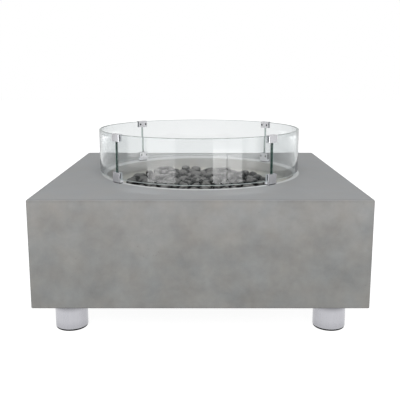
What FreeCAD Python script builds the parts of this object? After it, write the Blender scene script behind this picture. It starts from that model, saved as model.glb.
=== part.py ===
import FreeCAD, Part
import math
import os
import random
import re

import Sketcher
from FreeCAD import Placement, Rotation, Vector

# Square gas fire pit table. Millimetres, +Z up, origin on the floor under the middle of the table.
# The front looks along -Y. The controls are in the rear wall, on the +Y side.

# Driving sizes
SIZES = {
    # concrete shell
    "body_width": 1067,
    "body_height": 350,
    "wall_thickness": 22,
    "top_thickness": 24,
    "outer_round": 6,
    "foot_round": 2.5,
    "rim_radius": 359,
    "rim_round": 5,
    "well_depth": 62,
    "well_round": 26,
    "well_wall": 20,
    "well_floor": 20,
    # base frame and its fasteners
    "frame_flange": 40,
    "frame_steel": 5,
    "frame_gap": 1,
    "corner_plate": 190,
    "insert_radius": 7,
    "insert_length": 16,
    "frame_screw_radius": 4,
    "frame_screw_spread": 250,
    "frame_screw_head": 8,
    "frame_screw_head_height": 5,
    # legs and feet
    "leg_radius": 53,
    "leg_tube": 2.5,
    "leg_length": 94,
    "leg_plate": 8,
    "leg_inset": 105,
    "bolt_circle": 32,
    "bolt_radius": 4,
    "bolt_head": 7,
    "bolt_head_height": 5.5,
    "foot_thickness": 6,
    "foot_inset": 1.5,
    "foot_plug": 12,
    # burner
    "pan_radius": 195,
    "pan_sheet": 1.5,
    "dish_radius": 177,
    "dish_depth": 10,
    "pan_gap": 4,
    "ring_radius": 127,
    "ring_tube": 9.5,
    "ring_bore": 7.5,
    "bar_tube": 8,
    "bar_bore": 6,
    "ring_height": 20,
    "port_radius": 1.5,
    "hub_radius": 19,
    "hub_height": 28,
    "hub_cap": 6,
    "nipple_radius": 10.5,
    "nipple_bore": 7.5,
    "nipple_length": 62,
    "locknut_width": 34,
    "locknut_height": 8,
    "mixer_radius": 15,
    "mixer_height": 46,
    "mixer_neck": 12,
    "mixer_window": 8,
    "shield_radius": 140,
    "shield_sheet": 1.2,
    "shield_drop": 34,
    "spacer_circle": 98,
    "spacer_radius": 5,
    "shield_screw": 2.5,
    # ignition at the burner
    "igniter_gap": 26,
    "bracket_width": 34,
    "bracket_depth": 22,
    "bracket_height": 22,
    "bracket_sheet": 1.5,
    "probe_spread": 18,
    "electrode_radius": 4,
    "electrode_tip": 1.2,
    "electrode_point": 6,
    "thermocouple_radius": 3,
    "thermocouple_extra": 4,
    "probe_top": 34,
    "probe_tail": 24,
    # lava stones
    "heap_radius": 270,
    "heap_shift": -16,
    "heap_forward": 50,
    "heap_rise": 4,
    "heap_edge_drop": 2,
    "stone_largest": 27,
    "stone_smallest": 15,
    "stone_flatness": 0.78,
    "stone_gap": 0.3,
    # control tray in the rear wall
    "control_height": 200,
    "tray_width": 230,
    "tray_height": 116,
    "tray_depth": 44,
    "tray_sheet": 1.5,
    "tray_flange": 14,
    "tray_recess": 3,
    "tray_round": 8,
    "tray_gap": 1,
    "tray_screw": 2,
    "tray_screw_head": 4,
    "tray_screw_head_height": 2,
    "tray_screw_length": 12,
    # gas valve and knob
    "valve_width": 40,
    "valve_rise": 16,
    "valve_drop": 38,
    "valve_depth": 40,
    "valve_neck": 9,
    "valve_neck_length": 8,
    "stem_radius": 4,
    "stem_depth": 14,
    "stem_reach": 27,
    "plunger_radius": 6,
    "plunger_length": 12,
    "push_travel": 4,
    "magnet_radius": 9,
    "magnet_length": 22,
    "port_boss": 8,
    "port_length": 11,
    "outlet_drop": 28,
    "knob_radius": 23,
    "knob_height": 19,
    "knob_gap": 6,
    "knob_grip": 3,
    # igniter
    "button_offset": 75,
    "module_radius": 14,
    "module_length": 52,
    "module_neck": 11,
    "module_neck_length": 9,
    "button_radius": 7.5,
    "button_length": 16,
    "button_proud": 7,
    # gas inlet
    "inlet_offset": 80,
    "inlet_neck": 9.5,
    "inlet_neck_proud": 2,
    "flare_radius": 7.9,
    "flare_length": 24,
    "flare_bore": 4,
    "inlet_collar": 12,
    "elbow_size": 18,
    "pipe_radius": 5,
    "panel_nut_height": 4,
    # hose and leads
    "hose_radius": 7,
    "lead_radius": 2.5,
    "capillary_radius": 1.5,
    # wind guard
    "guard_shift": -5,
    "guard_turn": -3.9,
    "glass_setback": 21.4,
    "glass_thickness": 8,
    "glass_height": 156,
    "glass_lift": 13.5,
    "glass_arris": 1,
    "panel_gap": 4,
    "clip_width": 40,
    "clip_outer": 4,
    "clip_inner": 5,
    "clip_slot": 0.6,
    "clip_web": 3,
    "top_clip_height": 26,
    "top_clip_rise": 2,
    "bottom_clip_height": 34,
    "clip_round": 1,
    "pad_thickness": 0.5,
    "pad_height": 18,
    "clip_foot": 3,
    "clip_foot_inset": 2,
    "clip_screw": 3,
    "clip_screw_spread": 13.5,
    "clip_screw_length": 3.4,
    "fit_gap": 0.05,
}

# Places worked out from the driving sizes
UNDERSIDE = "(foot_thickness + leg_length)"
TABLETOP = f"({UNDERSIDE} + body_height)"
HALF = "(body_width / 2)"
WALL_INSIDE = f"({HALF} - wall_thickness)"
WELL_FLOOR = f"({TABLETOP} - well_depth)"
TUB_RADIUS = "(rim_radius + well_wall)"
FRAME_HALF = f"({WALL_INSIDE} - frame_gap)"
FLANGE_INSIDE = f"({FRAME_HALF} - frame_steel)"
LEG_AT = f"({HALF} - leg_inset)"
LEG_TOP = UNDERSIDE
PLATE_TOP = f"({UNDERSIDE} + frame_steel)"
DISH_FLOOR = f"({WELL_FLOOR} - dish_depth)"
PAN_TOP = f"({DISH_FLOOR} + pan_sheet)"
IGNITER_AT = "(ring_radius + igniter_gap)"
RING_LEVEL = f"({PAN_TOP} + ring_height)"
SHIELD_TOP = f"({DISH_FLOOR} - shield_drop)"
CONTROL_LEVEL = f"({UNDERSIDE} + control_height)"
TRAY_FACE = f"({HALF} - tray_recess)"
TRAY_BACK = f"({TRAY_FACE} - tray_depth)"
TRAY_INNER = f"({TRAY_BACK} + tray_sheet)"
GLASS_FOOT = f"({TABLETOP} + glass_lift)"
GLASS_TOP = f"({GLASS_FOOT} + glass_height)"
GLASS_OUTSIDE = "(rim_radius + glass_setback)"
GLASS_INSIDE = f"({GLASS_OUTSIDE} - glass_thickness)"
SLOT_OUTSIDE = f"({GLASS_OUTSIDE} + clip_slot)"
SLOT_INSIDE = f"({GLASS_INSIDE} - clip_slot)"
CLIP_OUTSIDE = f"({SLOT_OUTSIDE} + clip_outer)"
CLIP_INSIDE = f"({SLOT_INSIDE} - clip_inner)"

doc = FreeCAD.newDocument("FirePitTable")
sheet = doc.addObject("Spreadsheet::Sheet", "Sizes")
for row, (alias, number) in enumerate(SIZES.items(), start=1):
    sheet.set(f"A{row}", alias)
    sheet.set(f"B{row}", str(number))
    sheet.setAlias(f"B{row}", alias)
doc.recompute()

nodes = []


def sized(text):
    """Point each size named in an expression at its cell in the sheet."""
    return re.sub(r"[a-z]+(?:_[a-z]+)+", r"Sizes.\g<0>", text)


def value(text):
    """Number that an expression on the sizes comes to."""
    found = sheet.evalExpression(sized(text))
    return float(getattr(found, "Value", found))


def new_body(name):
    """Start a sub-part: one body whose label names its file."""
    body = doc.addObject("PartDesign::Body", name)
    body.Label = name
    nodes.append(body)
    return body


def keep(thing, name):
    """Make a document object a sub-part under the given name."""
    thing.Label = name
    nodes.append(thing)
    return thing


def new_sketch(body, role, offset="0", turn=None):
    """Sketch on an origin plane of its own body, moved along the plane's normal and turned on Z."""
    sketch = body.newObject("Sketcher::SketchObject", body.Name + "_sketch")
    sketch.AttachmentSupport = [(origin_feature(body, role), "")]
    sketch.MapMode = "FlatFace"
    sketch.setExpression("AttachmentOffset.Base.z", sized(offset))
    if turn is not None:
        sketch.AttachmentOffset = Placement(Vector(0, 0, 0), Rotation(Vector(0, 1, 0), 1))
        sketch.setExpression("AttachmentOffset.Rotation.Angle", sized(turn))
    return sketch


def pin_point(sketch, geometry, point, x, y):
    """Hold a sketch point at sized distances from the sketch's origin."""
    for kind, text, axis in (("DistanceX", x, -2), ("DistanceY", y, -1)):
        distance = value(text)
        if abs(distance) < 1e-9:
            sketch.addConstraint(Sketcher.Constraint("PointOnObject", geometry, point, axis))
        else:
            held = Sketcher.Constraint(kind, -1, 1, geometry, point, distance)
            index = sketch.addConstraint(held)
            sketch.setExpression(f"Constraints[{index}]", sized(text))


def add_circle(sketch, x, y, radius):
    shape = Part.Circle(Vector(value(x), value(y), 0), Vector(0, 0, 1), value(radius))
    geometry = sketch.addGeometry(shape, False)
    pin_point(sketch, geometry, 3, x, y)
    index = sketch.addConstraint(Sketcher.Constraint("Radius", geometry, value(radius)))
    sketch.setExpression(f"Constraints[{index}]", sized(radius))


def add_polygon(sketch, corners):
    """Closed outline through corners that are given as pairs of expressions."""
    places = [Vector(value(x), value(y), 0) for x, y in corners]
    first = sketch.GeometryCount
    count = len(corners)
    for index, place in enumerate(places):
        sketch.addGeometry(Part.LineSegment(place, places[(index + 1) % count]), False)
    for index in range(count):
        joined = Sketcher.Constraint("Coincident", first + index, 2, first + (index + 1) % count, 1)
        sketch.addConstraint(joined)
    for index, (x, y) in enumerate(corners):
        pin_point(sketch, first + index, 1, x, y)


def add_rectangle(sketch, left, low, right, high):
    add_polygon(sketch, [(left, low), (right, low), (right, high), (left, high)])


def add_hexagon(sketch, x, y, across):
    """Hexagon by its width across flats, with two sides level."""
    corners = []
    for index in range(6):
        along = f"{x} + {across} / sqrt(3) * cos({60 * index} deg)"
        up = f"{y} + {across} / sqrt(3) * sin({60 * index} deg)"
        corners.append((along, up))
    add_polygon(sketch, corners)


def pad(body, sketch, length, backwards=False):
    feature = body.newObject("PartDesign::Pad", body.Name + "_pad")
    feature.Profile = sketch
    feature.setExpression("Length", sized(length))
    feature.Reversed = backwards
    doc.recompute()
    return feature


def check_cut(body, feature, before):
    doc.recompute()
    if not body.Shape.Volume < before:
        raise RuntimeError(f"{feature.Name} cuts nothing")


def pocket(body, sketch, length, backwards=False):
    """Cut against the sketch's normal, or along it when backwards."""
    before = body.Shape.Volume
    feature = body.newObject("PartDesign::Pocket", body.Name + "_pocket")
    feature.Profile = sketch
    feature.setExpression("Length", sized(length))
    feature.Reversed = backwards
    check_cut(body, feature, before)
    return feature


def revolve(body, sketch, angle="360 deg"):
    """Turn a profile about the sketch's upright axis."""
    feature = body.newObject("PartDesign::Revolution", body.Name + "_revolution")
    feature.Profile = sketch
    feature.ReferenceAxis = (sketch, ["V_Axis"])
    feature.setExpression("Angle", sized(angle))
    doc.recompute()
    return feature


def groove(body, sketch, angle):
    before = body.Shape.Volume
    feature = body.newObject("PartDesign::Groove", body.Name + "_groove")
    feature.Profile = sketch
    feature.ReferenceAxis = (sketch, ["V_Axis"])
    feature.setExpression("Angle", sized(angle))
    check_cut(body, feature, before)
    return feature


def origin_feature(body, role):
    return next(feature for feature in body.Origin.OriginFeatures if feature.Role == role)


def four_times(body, features):
    """Repeat features at each quarter turn about the upright axis."""
    pattern = body.newObject("PartDesign::PolarPattern", body.Name + "_pattern")
    pattern.Originals = features
    pattern.Axis = (origin_feature(body, "Z_Axis"), [""])
    pattern.Angle = 360
    pattern.Occurrences = 4
    body.Tip = pattern
    doc.recompute()
    return pattern


def round_edges(body, radius, wanted, kind="Fillet"):
    """Round or bevel the edges of the body that pass a test."""
    base = body.Tip
    names = []
    for index, edge in enumerate(base.Shape.Edges, start=1):
        if wanted(edge):
            names.append(f"Edge{index}")
    if not names:
        raise RuntimeError(f"no edge to round on {body.Label}")
    feature = body.newObject(f"PartDesign::{kind}", f"{body.Name}_{kind.lower()}")
    feature.Base = (base, names)
    feature.setExpression("Radius" if kind == "Fillet" else "Size", sized(radius))
    doc.recompute()
    return feature


def is_upright(edge):
    box = edge.BoundBox
    return box.XLength < 1e-6 and box.YLength < 1e-6


def runs_along_y(edge):
    box = edge.BoundBox
    return box.XLength < 1e-6 and box.ZLength < 1e-6


def lies_at(edge, level):
    box = edge.BoundBox
    return abs(box.ZMin - level) < 1e-4 and abs(box.ZMax - level) < 1e-4


def is_circle(edge, radius):
    return edge.isClosed() and abs(edge.Length - 2 * math.pi * radius) < 1e-3


def disc(body, level, radius, height, x="0", y="0", bore=None, backwards=False):
    """Upright disc or ring, standing on a level."""
    sketch = new_sketch(body, "XY_Plane", level)
    add_circle(sketch, x, y, radius)
    if bore:
        add_circle(sketch, x, y, bore)
    return pad(body, sketch, height, backwards)


def rear_disc(body, face, x, z, radius, length, bore=None, inwards=False):
    """Disc or ring that stands out rearwards from a face, or inwards from it."""
    sketch = new_sketch(body, "XZ_Plane", f"-{face}")
    add_circle(sketch, x, z, radius)
    if bore:
        add_circle(sketch, x, z, bore)
    return pad(body, sketch, length, not inwards)


def rear_block(body, face, left, low, right, high, length, inwards=False):
    sketch = new_sketch(body, "XZ_Plane", f"-{face}")
    add_rectangle(sketch, left, low, right, high)
    return pad(body, sketch, length, not inwards)


def rear_bore(body, face, x, z, radius, length):
    """Round hole cut inwards from a rear-looking face."""
    sketch = new_sketch(body, "XZ_Plane", f"-{face}")
    add_circle(sketch, x, z, radius)
    return pocket(body, sketch, length, True)


def rear_nut(body, face, x, z, across, bore, height):
    sketch = new_sketch(body, "XZ_Plane", f"-{face}")
    add_hexagon(sketch, x, z, across)
    add_circle(sketch, x, z, bore)
    return pad(body, sketch, height, True)


# Concrete shell
def make_shell():
    body = new_body("concrete_shell")
    outline = new_sketch(body, "XY_Plane", UNDERSIDE)
    add_rectangle(outline, f"-{HALF}", f"-{HALF}", HALF, HALF)
    pad(body, outline, "body_height")

    hollow = new_sketch(body, "XY_Plane", UNDERSIDE)
    add_rectangle(hollow, f"-{WALL_INSIDE}", f"-{WALL_INSIDE}", WALL_INSIDE, WALL_INSIDE)
    add_circle(hollow, "0", "0", TUB_RADIUS)
    pocket(body, hollow, "body_height - top_thickness", True)
    under_tub = new_sketch(body, "XY_Plane", UNDERSIDE)
    add_circle(under_tub, "0", "0", f"{TUB_RADIUS} + 1")
    pocket(body, under_tub, "body_height - well_depth - well_floor", True)

    well = new_sketch(body, "XY_Plane", TABLETOP)
    add_circle(well, "0", "0", "rim_radius")
    pocket(body, well, "well_depth")
    pan_hole = new_sketch(body, "XY_Plane", WELL_FLOOR)
    add_circle(pan_hole, "0", "0", "dish_radius + pan_gap")
    pocket(body, pan_hole, "well_floor")

    corner = value(HALF)
    top = value(TABLETOP)
    low = value(UNDERSIDE)
    rim = value("rim_radius")

    def outer_edge(edge):
        box = edge.BoundBox
        far = max(abs(box.XMin), abs(box.XMax)) + max(abs(box.YMin), abs(box.YMax))
        on_corner = is_upright(edge) and far > 2 * corner - 1e-4
        return on_corner or (lies_at(edge, top) and not is_circle(edge, rim))

    def bottom_edge(edge):
        box = edge.BoundBox
        reach = max(abs(box.XMin), abs(box.XMax), abs(box.YMin), abs(box.YMax))
        return lies_at(edge, low) and reach > corner - 1e-4

    round_edges(body, "outer_round", outer_edge)
    round_edges(body, "rim_round", lambda edge: is_circle(edge, rim) and lies_at(edge, top))
    floor = value(WELL_FLOOR)
    round_edges(body, "well_round", lambda edge: is_circle(edge, rim) and lies_at(edge, floor))
    round_edges(body, "foot_round", bottom_edge)

    # opening for the control tray, with a rebate that its flange lies in
    opening = new_sketch(body, "XZ_Plane", f"-{HALF}")
    side = "(tray_width / 2 + tray_gap)"
    rise = "(tray_height / 2 + tray_gap)"
    add_rectangle(opening, f"-{side}", f"{CONTROL_LEVEL} - {rise}", side, f"{CONTROL_LEVEL} + {rise}")
    pocket(body, opening, "wall_thickness", True)
    rebate = new_sketch(body, "XZ_Plane", f"-{HALF}")
    side = "(tray_width / 2 + tray_flange + tray_gap)"
    rise = "(tray_height / 2 + tray_flange + tray_gap)"
    add_rectangle(rebate, f"-{side}", f"{CONTROL_LEVEL} - {rise}", side, f"{CONTROL_LEVEL} + {rise}")
    pocket(body, rebate, "tray_recess + tray_sheet", True)
    pilot = new_sketch(body, "XZ_Plane", f"-({TRAY_FACE} - tray_sheet)")
    for x, z in tray_screw_places():
        add_circle(pilot, x, z, "tray_screw + fit_gap")
    pocket(body, pilot, "tray_screw_length", True)

    # blind holes for the cast-in inserts, in each wall
    holes = new_sketch(body, "XZ_Plane", WALL_INSIDE)
    for x in ("-frame_screw_spread", "frame_screw_spread"):
        add_circle(holes, x, frame_screw_level(), "insert_radius")
    cut = pocket(body, holes, "insert_length", True)
    four_times(body, [cut])


def frame_screw_level():
    return f"({UNDERSIDE} + frame_flange * 0.6)"


def tray_screw_places():
    across = "(tray_width / 2 + tray_flange / 2)"
    return [
        (f"{x_sign}{across}", f"{CONTROL_LEVEL} {z_sign} tray_height / 4")
        for x_sign in ("-", "")
        for z_sign in ("-", "+")
    ]


# Steel frame in the bottom of the shell
def make_frame():
    body = new_body("base_frame")
    flat = new_sketch(body, "XY_Plane", UNDERSIDE)
    inner = f"({FRAME_HALF} - frame_flange)"
    add_rectangle(flat, f"-{FRAME_HALF}", f"-{FRAME_HALF}", FRAME_HALF, FRAME_HALF)
    add_rectangle(flat, f"-{inner}", f"-{inner}", inner, inner)
    pad(body, flat, "frame_steel")
    upright = new_sketch(body, "XY_Plane", UNDERSIDE)
    add_rectangle(upright, f"-{FRAME_HALF}", f"-{FRAME_HALF}", FRAME_HALF, FRAME_HALF)
    add_rectangle(upright, f"-{FLANGE_INSIDE}", f"-{FLANGE_INSIDE}", FLANGE_INSIDE, FLANGE_INSIDE)
    pad(body, upright, "frame_flange")
    plate = new_sketch(body, "XY_Plane", UNDERSIDE)
    near = f"({FRAME_HALF} - corner_plate)"
    far = f"({FRAME_HALF} - frame_steel / 2)"
    add_polygon(plate, [(near, far), (near, f"{near} + 40"), (f"{near} + 40", near), (far, near), (far, far)])
    corner = pad(body, plate, "frame_steel")
    four_times(body, [corner])
    bolt_holes = new_sketch(body, "XY_Plane", UNDERSIDE)
    for x, y in bolt_places():
        add_circle(bolt_holes, x, y, "bolt_radius + 0.5")
    cut = pocket(body, bolt_holes, "frame_steel", True)
    four_times(body, [cut])
    screw_holes = new_sketch(body, "XZ_Plane", FLANGE_INSIDE)
    for x in ("-frame_screw_spread", "frame_screw_spread"):
        add_circle(screw_holes, x, frame_screw_level(), "frame_screw_radius + 0.5")
    cut = pocket(body, screw_holes, "frame_steel", True)
    four_times(body, [cut])


def bolt_places():
    """Bolt centres over the leg on the +X +Y side."""
    return [
        (f"({LEG_AT} {x_sign} bolt_circle / sqrt(2))", f"({LEG_AT} {y_sign} bolt_circle / sqrt(2))")
        for x_sign in "+-"
        for y_sign in "+-"
    ]


def make_inserts():
    body = new_body("frame_inserts")
    sketch = new_sketch(body, "XZ_Plane", WALL_INSIDE)
    for x in ("-frame_screw_spread", "frame_screw_spread"):
        add_circle(sketch, x, frame_screw_level(), "insert_radius - fit_gap")
        add_circle(sketch, x, frame_screw_level(), "frame_screw_radius + fit_gap")
    tubes = pad(body, sketch, "insert_length - 0.5")
    four_times(body, [tubes])


def make_frame_screws():
    body = new_body("frame_screws")
    face = new_sketch(body, "XZ_Plane", FLANGE_INSIDE)
    for x in ("-frame_screw_spread", "frame_screw_spread"):
        add_circle(face, x, frame_screw_level(), "frame_screw_head")
    heads = pad(body, face, "frame_screw_head_height", True)
    shank = new_sketch(body, "XZ_Plane", FLANGE_INSIDE)
    for x in ("-frame_screw_spread", "frame_screw_spread"):
        add_circle(shank, x, frame_screw_level(), "frame_screw_radius")
    shanks = pad(body, shank, "frame_steel + frame_gap + insert_length - 2")
    four_times(body, [heads, shanks])


# Legs
def make_leg(side_name, x_sign, y_sign):
    leg = new_body(f"leg_{side_name}")
    tube_inside = "(leg_radius - leg_tube)"
    disc(leg, "foot_thickness", "leg_radius", "leg_length", bore=tube_inside)
    disc(leg, f"{LEG_TOP} - leg_plate", f"{tube_inside} + 1", "leg_plate")
    threads = new_sketch(leg, "XY_Plane", LEG_TOP)
    for x in ("-bolt_circle / sqrt(2)", "bolt_circle / sqrt(2)"):
        for y in ("-bolt_circle / sqrt(2)", "bolt_circle / sqrt(2)"):
            add_circle(threads, x, y, "bolt_radius + fit_gap")
    pocket(leg, threads, "leg_plate")

    foot = new_body(f"foot_{side_name}")
    disc(foot, "0", "leg_radius - foot_inset", "foot_thickness")
    disc(foot, "foot_thickness", f"{tube_inside} - 0.3", "foot_plug")
    edge_radius = value("leg_radius - foot_inset")
    low_edge = lambda edge: is_circle(edge, edge_radius) and lies_at(edge, 0)
    round_edges(foot, "foot_thickness / 5", low_edge, "Chamfer")
    for body in (leg, foot):
        body.setExpression("Placement.Base.x", sized(f"{x_sign}{LEG_AT}"))
        body.setExpression("Placement.Base.y", sized(f"{y_sign}{LEG_AT}"))


def make_leg_bolts():
    body = new_body("leg_bolts")
    head = new_sketch(body, "XY_Plane", PLATE_TOP)
    for x, y in bolt_places():
        add_hexagon(head, x, y, "(2 * bolt_head)")
    heads = pad(body, head, "bolt_head_height")
    shank = new_sketch(body, "XY_Plane", PLATE_TOP)
    for x, y in bolt_places():
        add_circle(shank, x, y, "bolt_radius")
    shanks = pad(body, shank, "frame_steel + leg_plate + 3", True)
    four_times(body, [heads, shanks])


# Burner
def make_pan():
    body = new_body("burner_pan")
    disc(body, WELL_FLOOR, "pan_radius", "pan_sheet")
    disc(body, DISH_FLOOR, "dish_radius", "dish_depth")
    dish = new_sketch(body, "XY_Plane", f"{WELL_FLOOR} + pan_sheet")
    add_circle(dish, "0", "0", "dish_radius - pan_sheet")
    pocket(body, dish, "dish_depth")
    holes = new_sketch(body, "XY_Plane", PAN_TOP)
    add_circle(holes, "0", "0", "nipple_radius + 0.5")
    add_circle(holes, "-probe_spread / 2", IGNITER_AT, "electrode_radius + 0.5")
    add_circle(holes, "probe_spread / 2", IGNITER_AT, "thermocouple_radius + 0.5")
    for x, y in spacer_places():
        add_circle(holes, x, y, "shield_screw + 0.25")
    pocket(body, holes, "pan_sheet")


def spacer_places():
    return [
        (f"({x_sign}spacer_circle / sqrt(2))", f"({y_sign}spacer_circle / sqrt(2))")
        for x_sign in ("-", "")
        for y_sign in ("-", "")
    ]


def make_burner():
    """Ring of square tube with a cross bar that carries the hub, all hollow."""
    body = new_body("burner_ring")
    disc(body, f"({RING_LEVEL} - ring_tube)", "ring_radius + ring_tube", "2 * ring_tube",
         bore="ring_radius - ring_tube")
    bar = new_sketch(body, "YZ_Plane", "-ring_radius")
    add_rectangle(bar, "-bar_tube", f"{RING_LEVEL} - bar_tube", "bar_tube", f"{RING_LEVEL} + bar_tube")
    pad(body, bar, "2 * ring_radius")
    disc(body, PAN_TOP, "hub_radius", "hub_height")
    passage = new_sketch(body, "XZ_Plane")
    add_rectangle(passage, "ring_radius - ring_bore", f"{RING_LEVEL} - ring_bore",
                  "ring_radius + ring_bore", f"{RING_LEVEL} + ring_bore")
    groove(body, passage, "360 deg")
    way = new_sketch(body, "YZ_Plane", "-ring_radius")
    add_rectangle(way, "-bar_bore", f"{RING_LEVEL} - bar_bore", "bar_bore", f"{RING_LEVEL} + bar_bore")
    pocket(body, way, "2 * ring_radius", True)
    thread = new_sketch(body, "XY_Plane", PAN_TOP)
    add_circle(thread, "0", "0", "nipple_radius + fit_gap")
    pocket(body, thread, "hub_height - hub_cap", True)
    ports = new_sketch(body, "XY_Plane", f"({RING_LEVEL} + ring_tube)")
    for index in range(24):
        angle = f"{7.5 + 15 * index} deg"
        add_circle(ports, f"ring_radius * cos({angle})", f"ring_radius * sin({angle})", "port_radius")
    pocket(body, ports, "ring_tube - ring_bore")


def make_burner_fittings():
    bottom = f"({PAN_TOP} + hub_height - 8 - nipple_length)"
    nipple = new_body("burner_nipple")
    disc(nipple, bottom, "nipple_radius", "nipple_length", bore="nipple_bore")

    locknut = new_body("burner_locknut")
    nut = new_sketch(locknut, "XY_Plane", DISH_FLOOR)
    add_hexagon(nut, "0", "0", "locknut_width")
    add_circle(nut, "0", "0", "nipple_radius + fit_gap")
    pad(locknut, nut, "locknut_height", True)

    # the mixer screws on the nipple, draws air in at two windows and turns the flow to the rear
    mixer = new_body("air_mixer")
    top = f"({bottom} + 10)"
    low = f"({top} - mixer_height)"
    disc(mixer, low, "mixer_radius", "mixer_height")
    outlet = new_sketch(mixer, "XZ_Plane")
    add_circle(outlet, "0", hose_level(), "mixer_radius - 3")
    pad(mixer, outlet, "mixer_radius + mixer_neck", True)
    seat = new_sketch(mixer, "XY_Plane", top)
    add_circle(seat, "0", "0", "nipple_radius + fit_gap")
    pocket(mixer, seat, "12")
    bore = new_sketch(mixer, "XY_Plane", top)
    add_circle(bore, "0", "0", "nipple_bore")
    pocket(mixer, bore, "mixer_height - 8")
    window = new_sketch(mixer, "YZ_Plane", "-(mixer_radius + 1)")
    add_rectangle(window, "-mixer_window / 2", f"{top} - 22", "mixer_window / 2", f"{top} - 14")
    pocket(mixer, window, "2 * mixer_radius + 2", True)
    port = new_sketch(mixer, "XZ_Plane", "-(mixer_radius + mixer_neck)")
    add_circle(port, "0", hose_level(), "hose_radius - 2")
    pocket(mixer, port, "mixer_radius + mixer_neck", True)


def hose_level():
    """Height of the mixer's outlet."""
    return f"({PAN_TOP} + hub_height + 2 - nipple_length - mixer_height + mixer_radius)"


def make_shield():
    shield = new_body("heat_shield")
    disc(shield, SHIELD_TOP, "shield_radius", "shield_sheet", bore="mixer_radius + 6", backwards=True)
    holes = new_sketch(shield, "XY_Plane", SHIELD_TOP)
    for x, y in spacer_places():
        add_circle(holes, x, y, "shield_screw + 0.25")
    pocket(shield, holes, "shield_sheet")

    spacers = new_body("shield_spacers")
    posts = new_sketch(spacers, "XY_Plane", SHIELD_TOP)
    for x, y in spacer_places():
        add_circle(posts, x, y, "spacer_radius")
        add_circle(posts, x, y, "shield_screw + fit_gap")
    pad(spacers, posts, "shield_drop")

    screws = new_body("shield_screws")
    heads = new_sketch(screws, "XY_Plane", f"{SHIELD_TOP} - shield_sheet")
    shanks = new_sketch(screws, "XY_Plane", f"{SHIELD_TOP} - shield_sheet")
    for x, y in spacer_places():
        add_circle(heads, x, y, "2 * shield_screw")
        add_circle(shanks, x, y, "shield_screw")
    pad(screws, heads, "3", True)
    pad(screws, shanks, "shield_sheet + shield_drop + pan_sheet - fit_gap")


def make_ignition_probes():
    bracket = new_body("ignition_bracket")
    foot = new_sketch(bracket, "XY_Plane", PAN_TOP)
    near = f"({IGNITER_AT} - bracket_depth / 2)"
    far = f"({IGNITER_AT} + bracket_depth / 2)"
    add_rectangle(foot, "-bracket_width / 2", near, "bracket_width / 2", far)
    pad(bracket, foot, "bracket_sheet")
    wall = new_sketch(bracket, "XY_Plane", PAN_TOP)
    add_rectangle(wall, "-bracket_width / 2", f"{far} - bracket_sheet", "bracket_width / 2", far)
    pad(bracket, wall, "bracket_height")
    shelf = new_sketch(bracket, "XY_Plane", f"{PAN_TOP} + bracket_height - bracket_sheet")
    add_rectangle(shelf, "-bracket_width / 2", near, "bracket_width / 2", far)
    pad(bracket, shelf, "bracket_sheet")
    holes = new_sketch(bracket, "XY_Plane", f"{PAN_TOP} + bracket_height")
    add_circle(holes, "-probe_spread / 2", IGNITER_AT, "electrode_radius + fit_gap")
    add_circle(holes, "probe_spread / 2", IGNITER_AT, "thermocouple_radius + fit_gap")
    pocket(bracket, holes, "bracket_height")

    tail = f"({DISH_FLOOR} - probe_tail)"
    electrode = new_body("spark_electrode")
    side = "-probe_spread / 2"
    shoulder = f"({PAN_TOP} + probe_top)"
    disc(electrode, tail, "electrode_radius", f"{shoulder} - {tail}", side, IGNITER_AT)
    disc(electrode, shoulder, "electrode_tip", "electrode_point", side, IGNITER_AT)
    couple = new_body("thermocouple")
    length = f"{shoulder} + thermocouple_extra - {tail}"
    disc(couple, tail, "thermocouple_radius", length, "probe_spread / 2", IGNITER_AT)


# Controls in the rear wall
def make_tray():
    body = new_body("control_tray")
    side = "tray_width / 2"
    rise = "tray_height / 2"
    low = f"({CONTROL_LEVEL} - {rise})"
    high = f"({CONTROL_LEVEL} + {rise})"
    rear_block(body, f"({TRAY_FACE})", f"-{side}", low, side, high, "tray_depth", inwards=True)
    rear_block(body, f"({TRAY_FACE})", f"-{side} - tray_flange", f"{low} - tray_flange",
               f"{side} + tray_flange", f"{high} + tray_flange", "tray_sheet", inwards=True)
    inside = new_sketch(body, "XZ_Plane", f"-{TRAY_FACE}")
    add_rectangle(inside, f"-{side} + tray_sheet", f"{low} + tray_sheet",
                  f"{side} - tray_sheet", f"{high} - tray_sheet")
    pocket(body, inside, "tray_depth - tray_sheet", True)

    half_wide = value(f"{side} + tray_flange")

    def flange_corner(edge):
        return runs_along_y(edge) and abs(abs(edge.BoundBox.XMin) - half_wide) < 1e-4

    round_edges(body, "tray_round", flange_corner)
    holes = new_sketch(body, "XZ_Plane", f"-{TRAY_FACE}")
    for x, z in tray_screw_places():
        add_circle(holes, x, z, "tray_screw + 0.3")
    pocket(body, holes, "tray_sheet", True)
    necks = new_sketch(body, "XZ_Plane", f"-{TRAY_INNER}")
    add_circle(necks, "0", CONTROL_LEVEL, "valve_neck + 0.2")
    add_circle(necks, "button_offset", CONTROL_LEVEL, "module_neck + 0.2")
    add_circle(necks, "-inlet_offset", CONTROL_LEVEL, "inlet_neck + 0.2")
    pocket(body, necks, "tray_sheet", True)

    screws = new_body("tray_screws")
    heads = new_sketch(screws, "XZ_Plane", f"-{TRAY_FACE}")
    shanks = new_sketch(screws, "XZ_Plane", f"-{TRAY_FACE}")
    for x, z in tray_screw_places():
        add_circle(heads, x, z, "tray_screw_head")
        add_circle(shanks, x, z, "tray_screw")
    pad(screws, heads, "tray_screw_head_height", True)
    pad(screws, shanks, "tray_sheet + tray_screw_length - 1")


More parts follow.
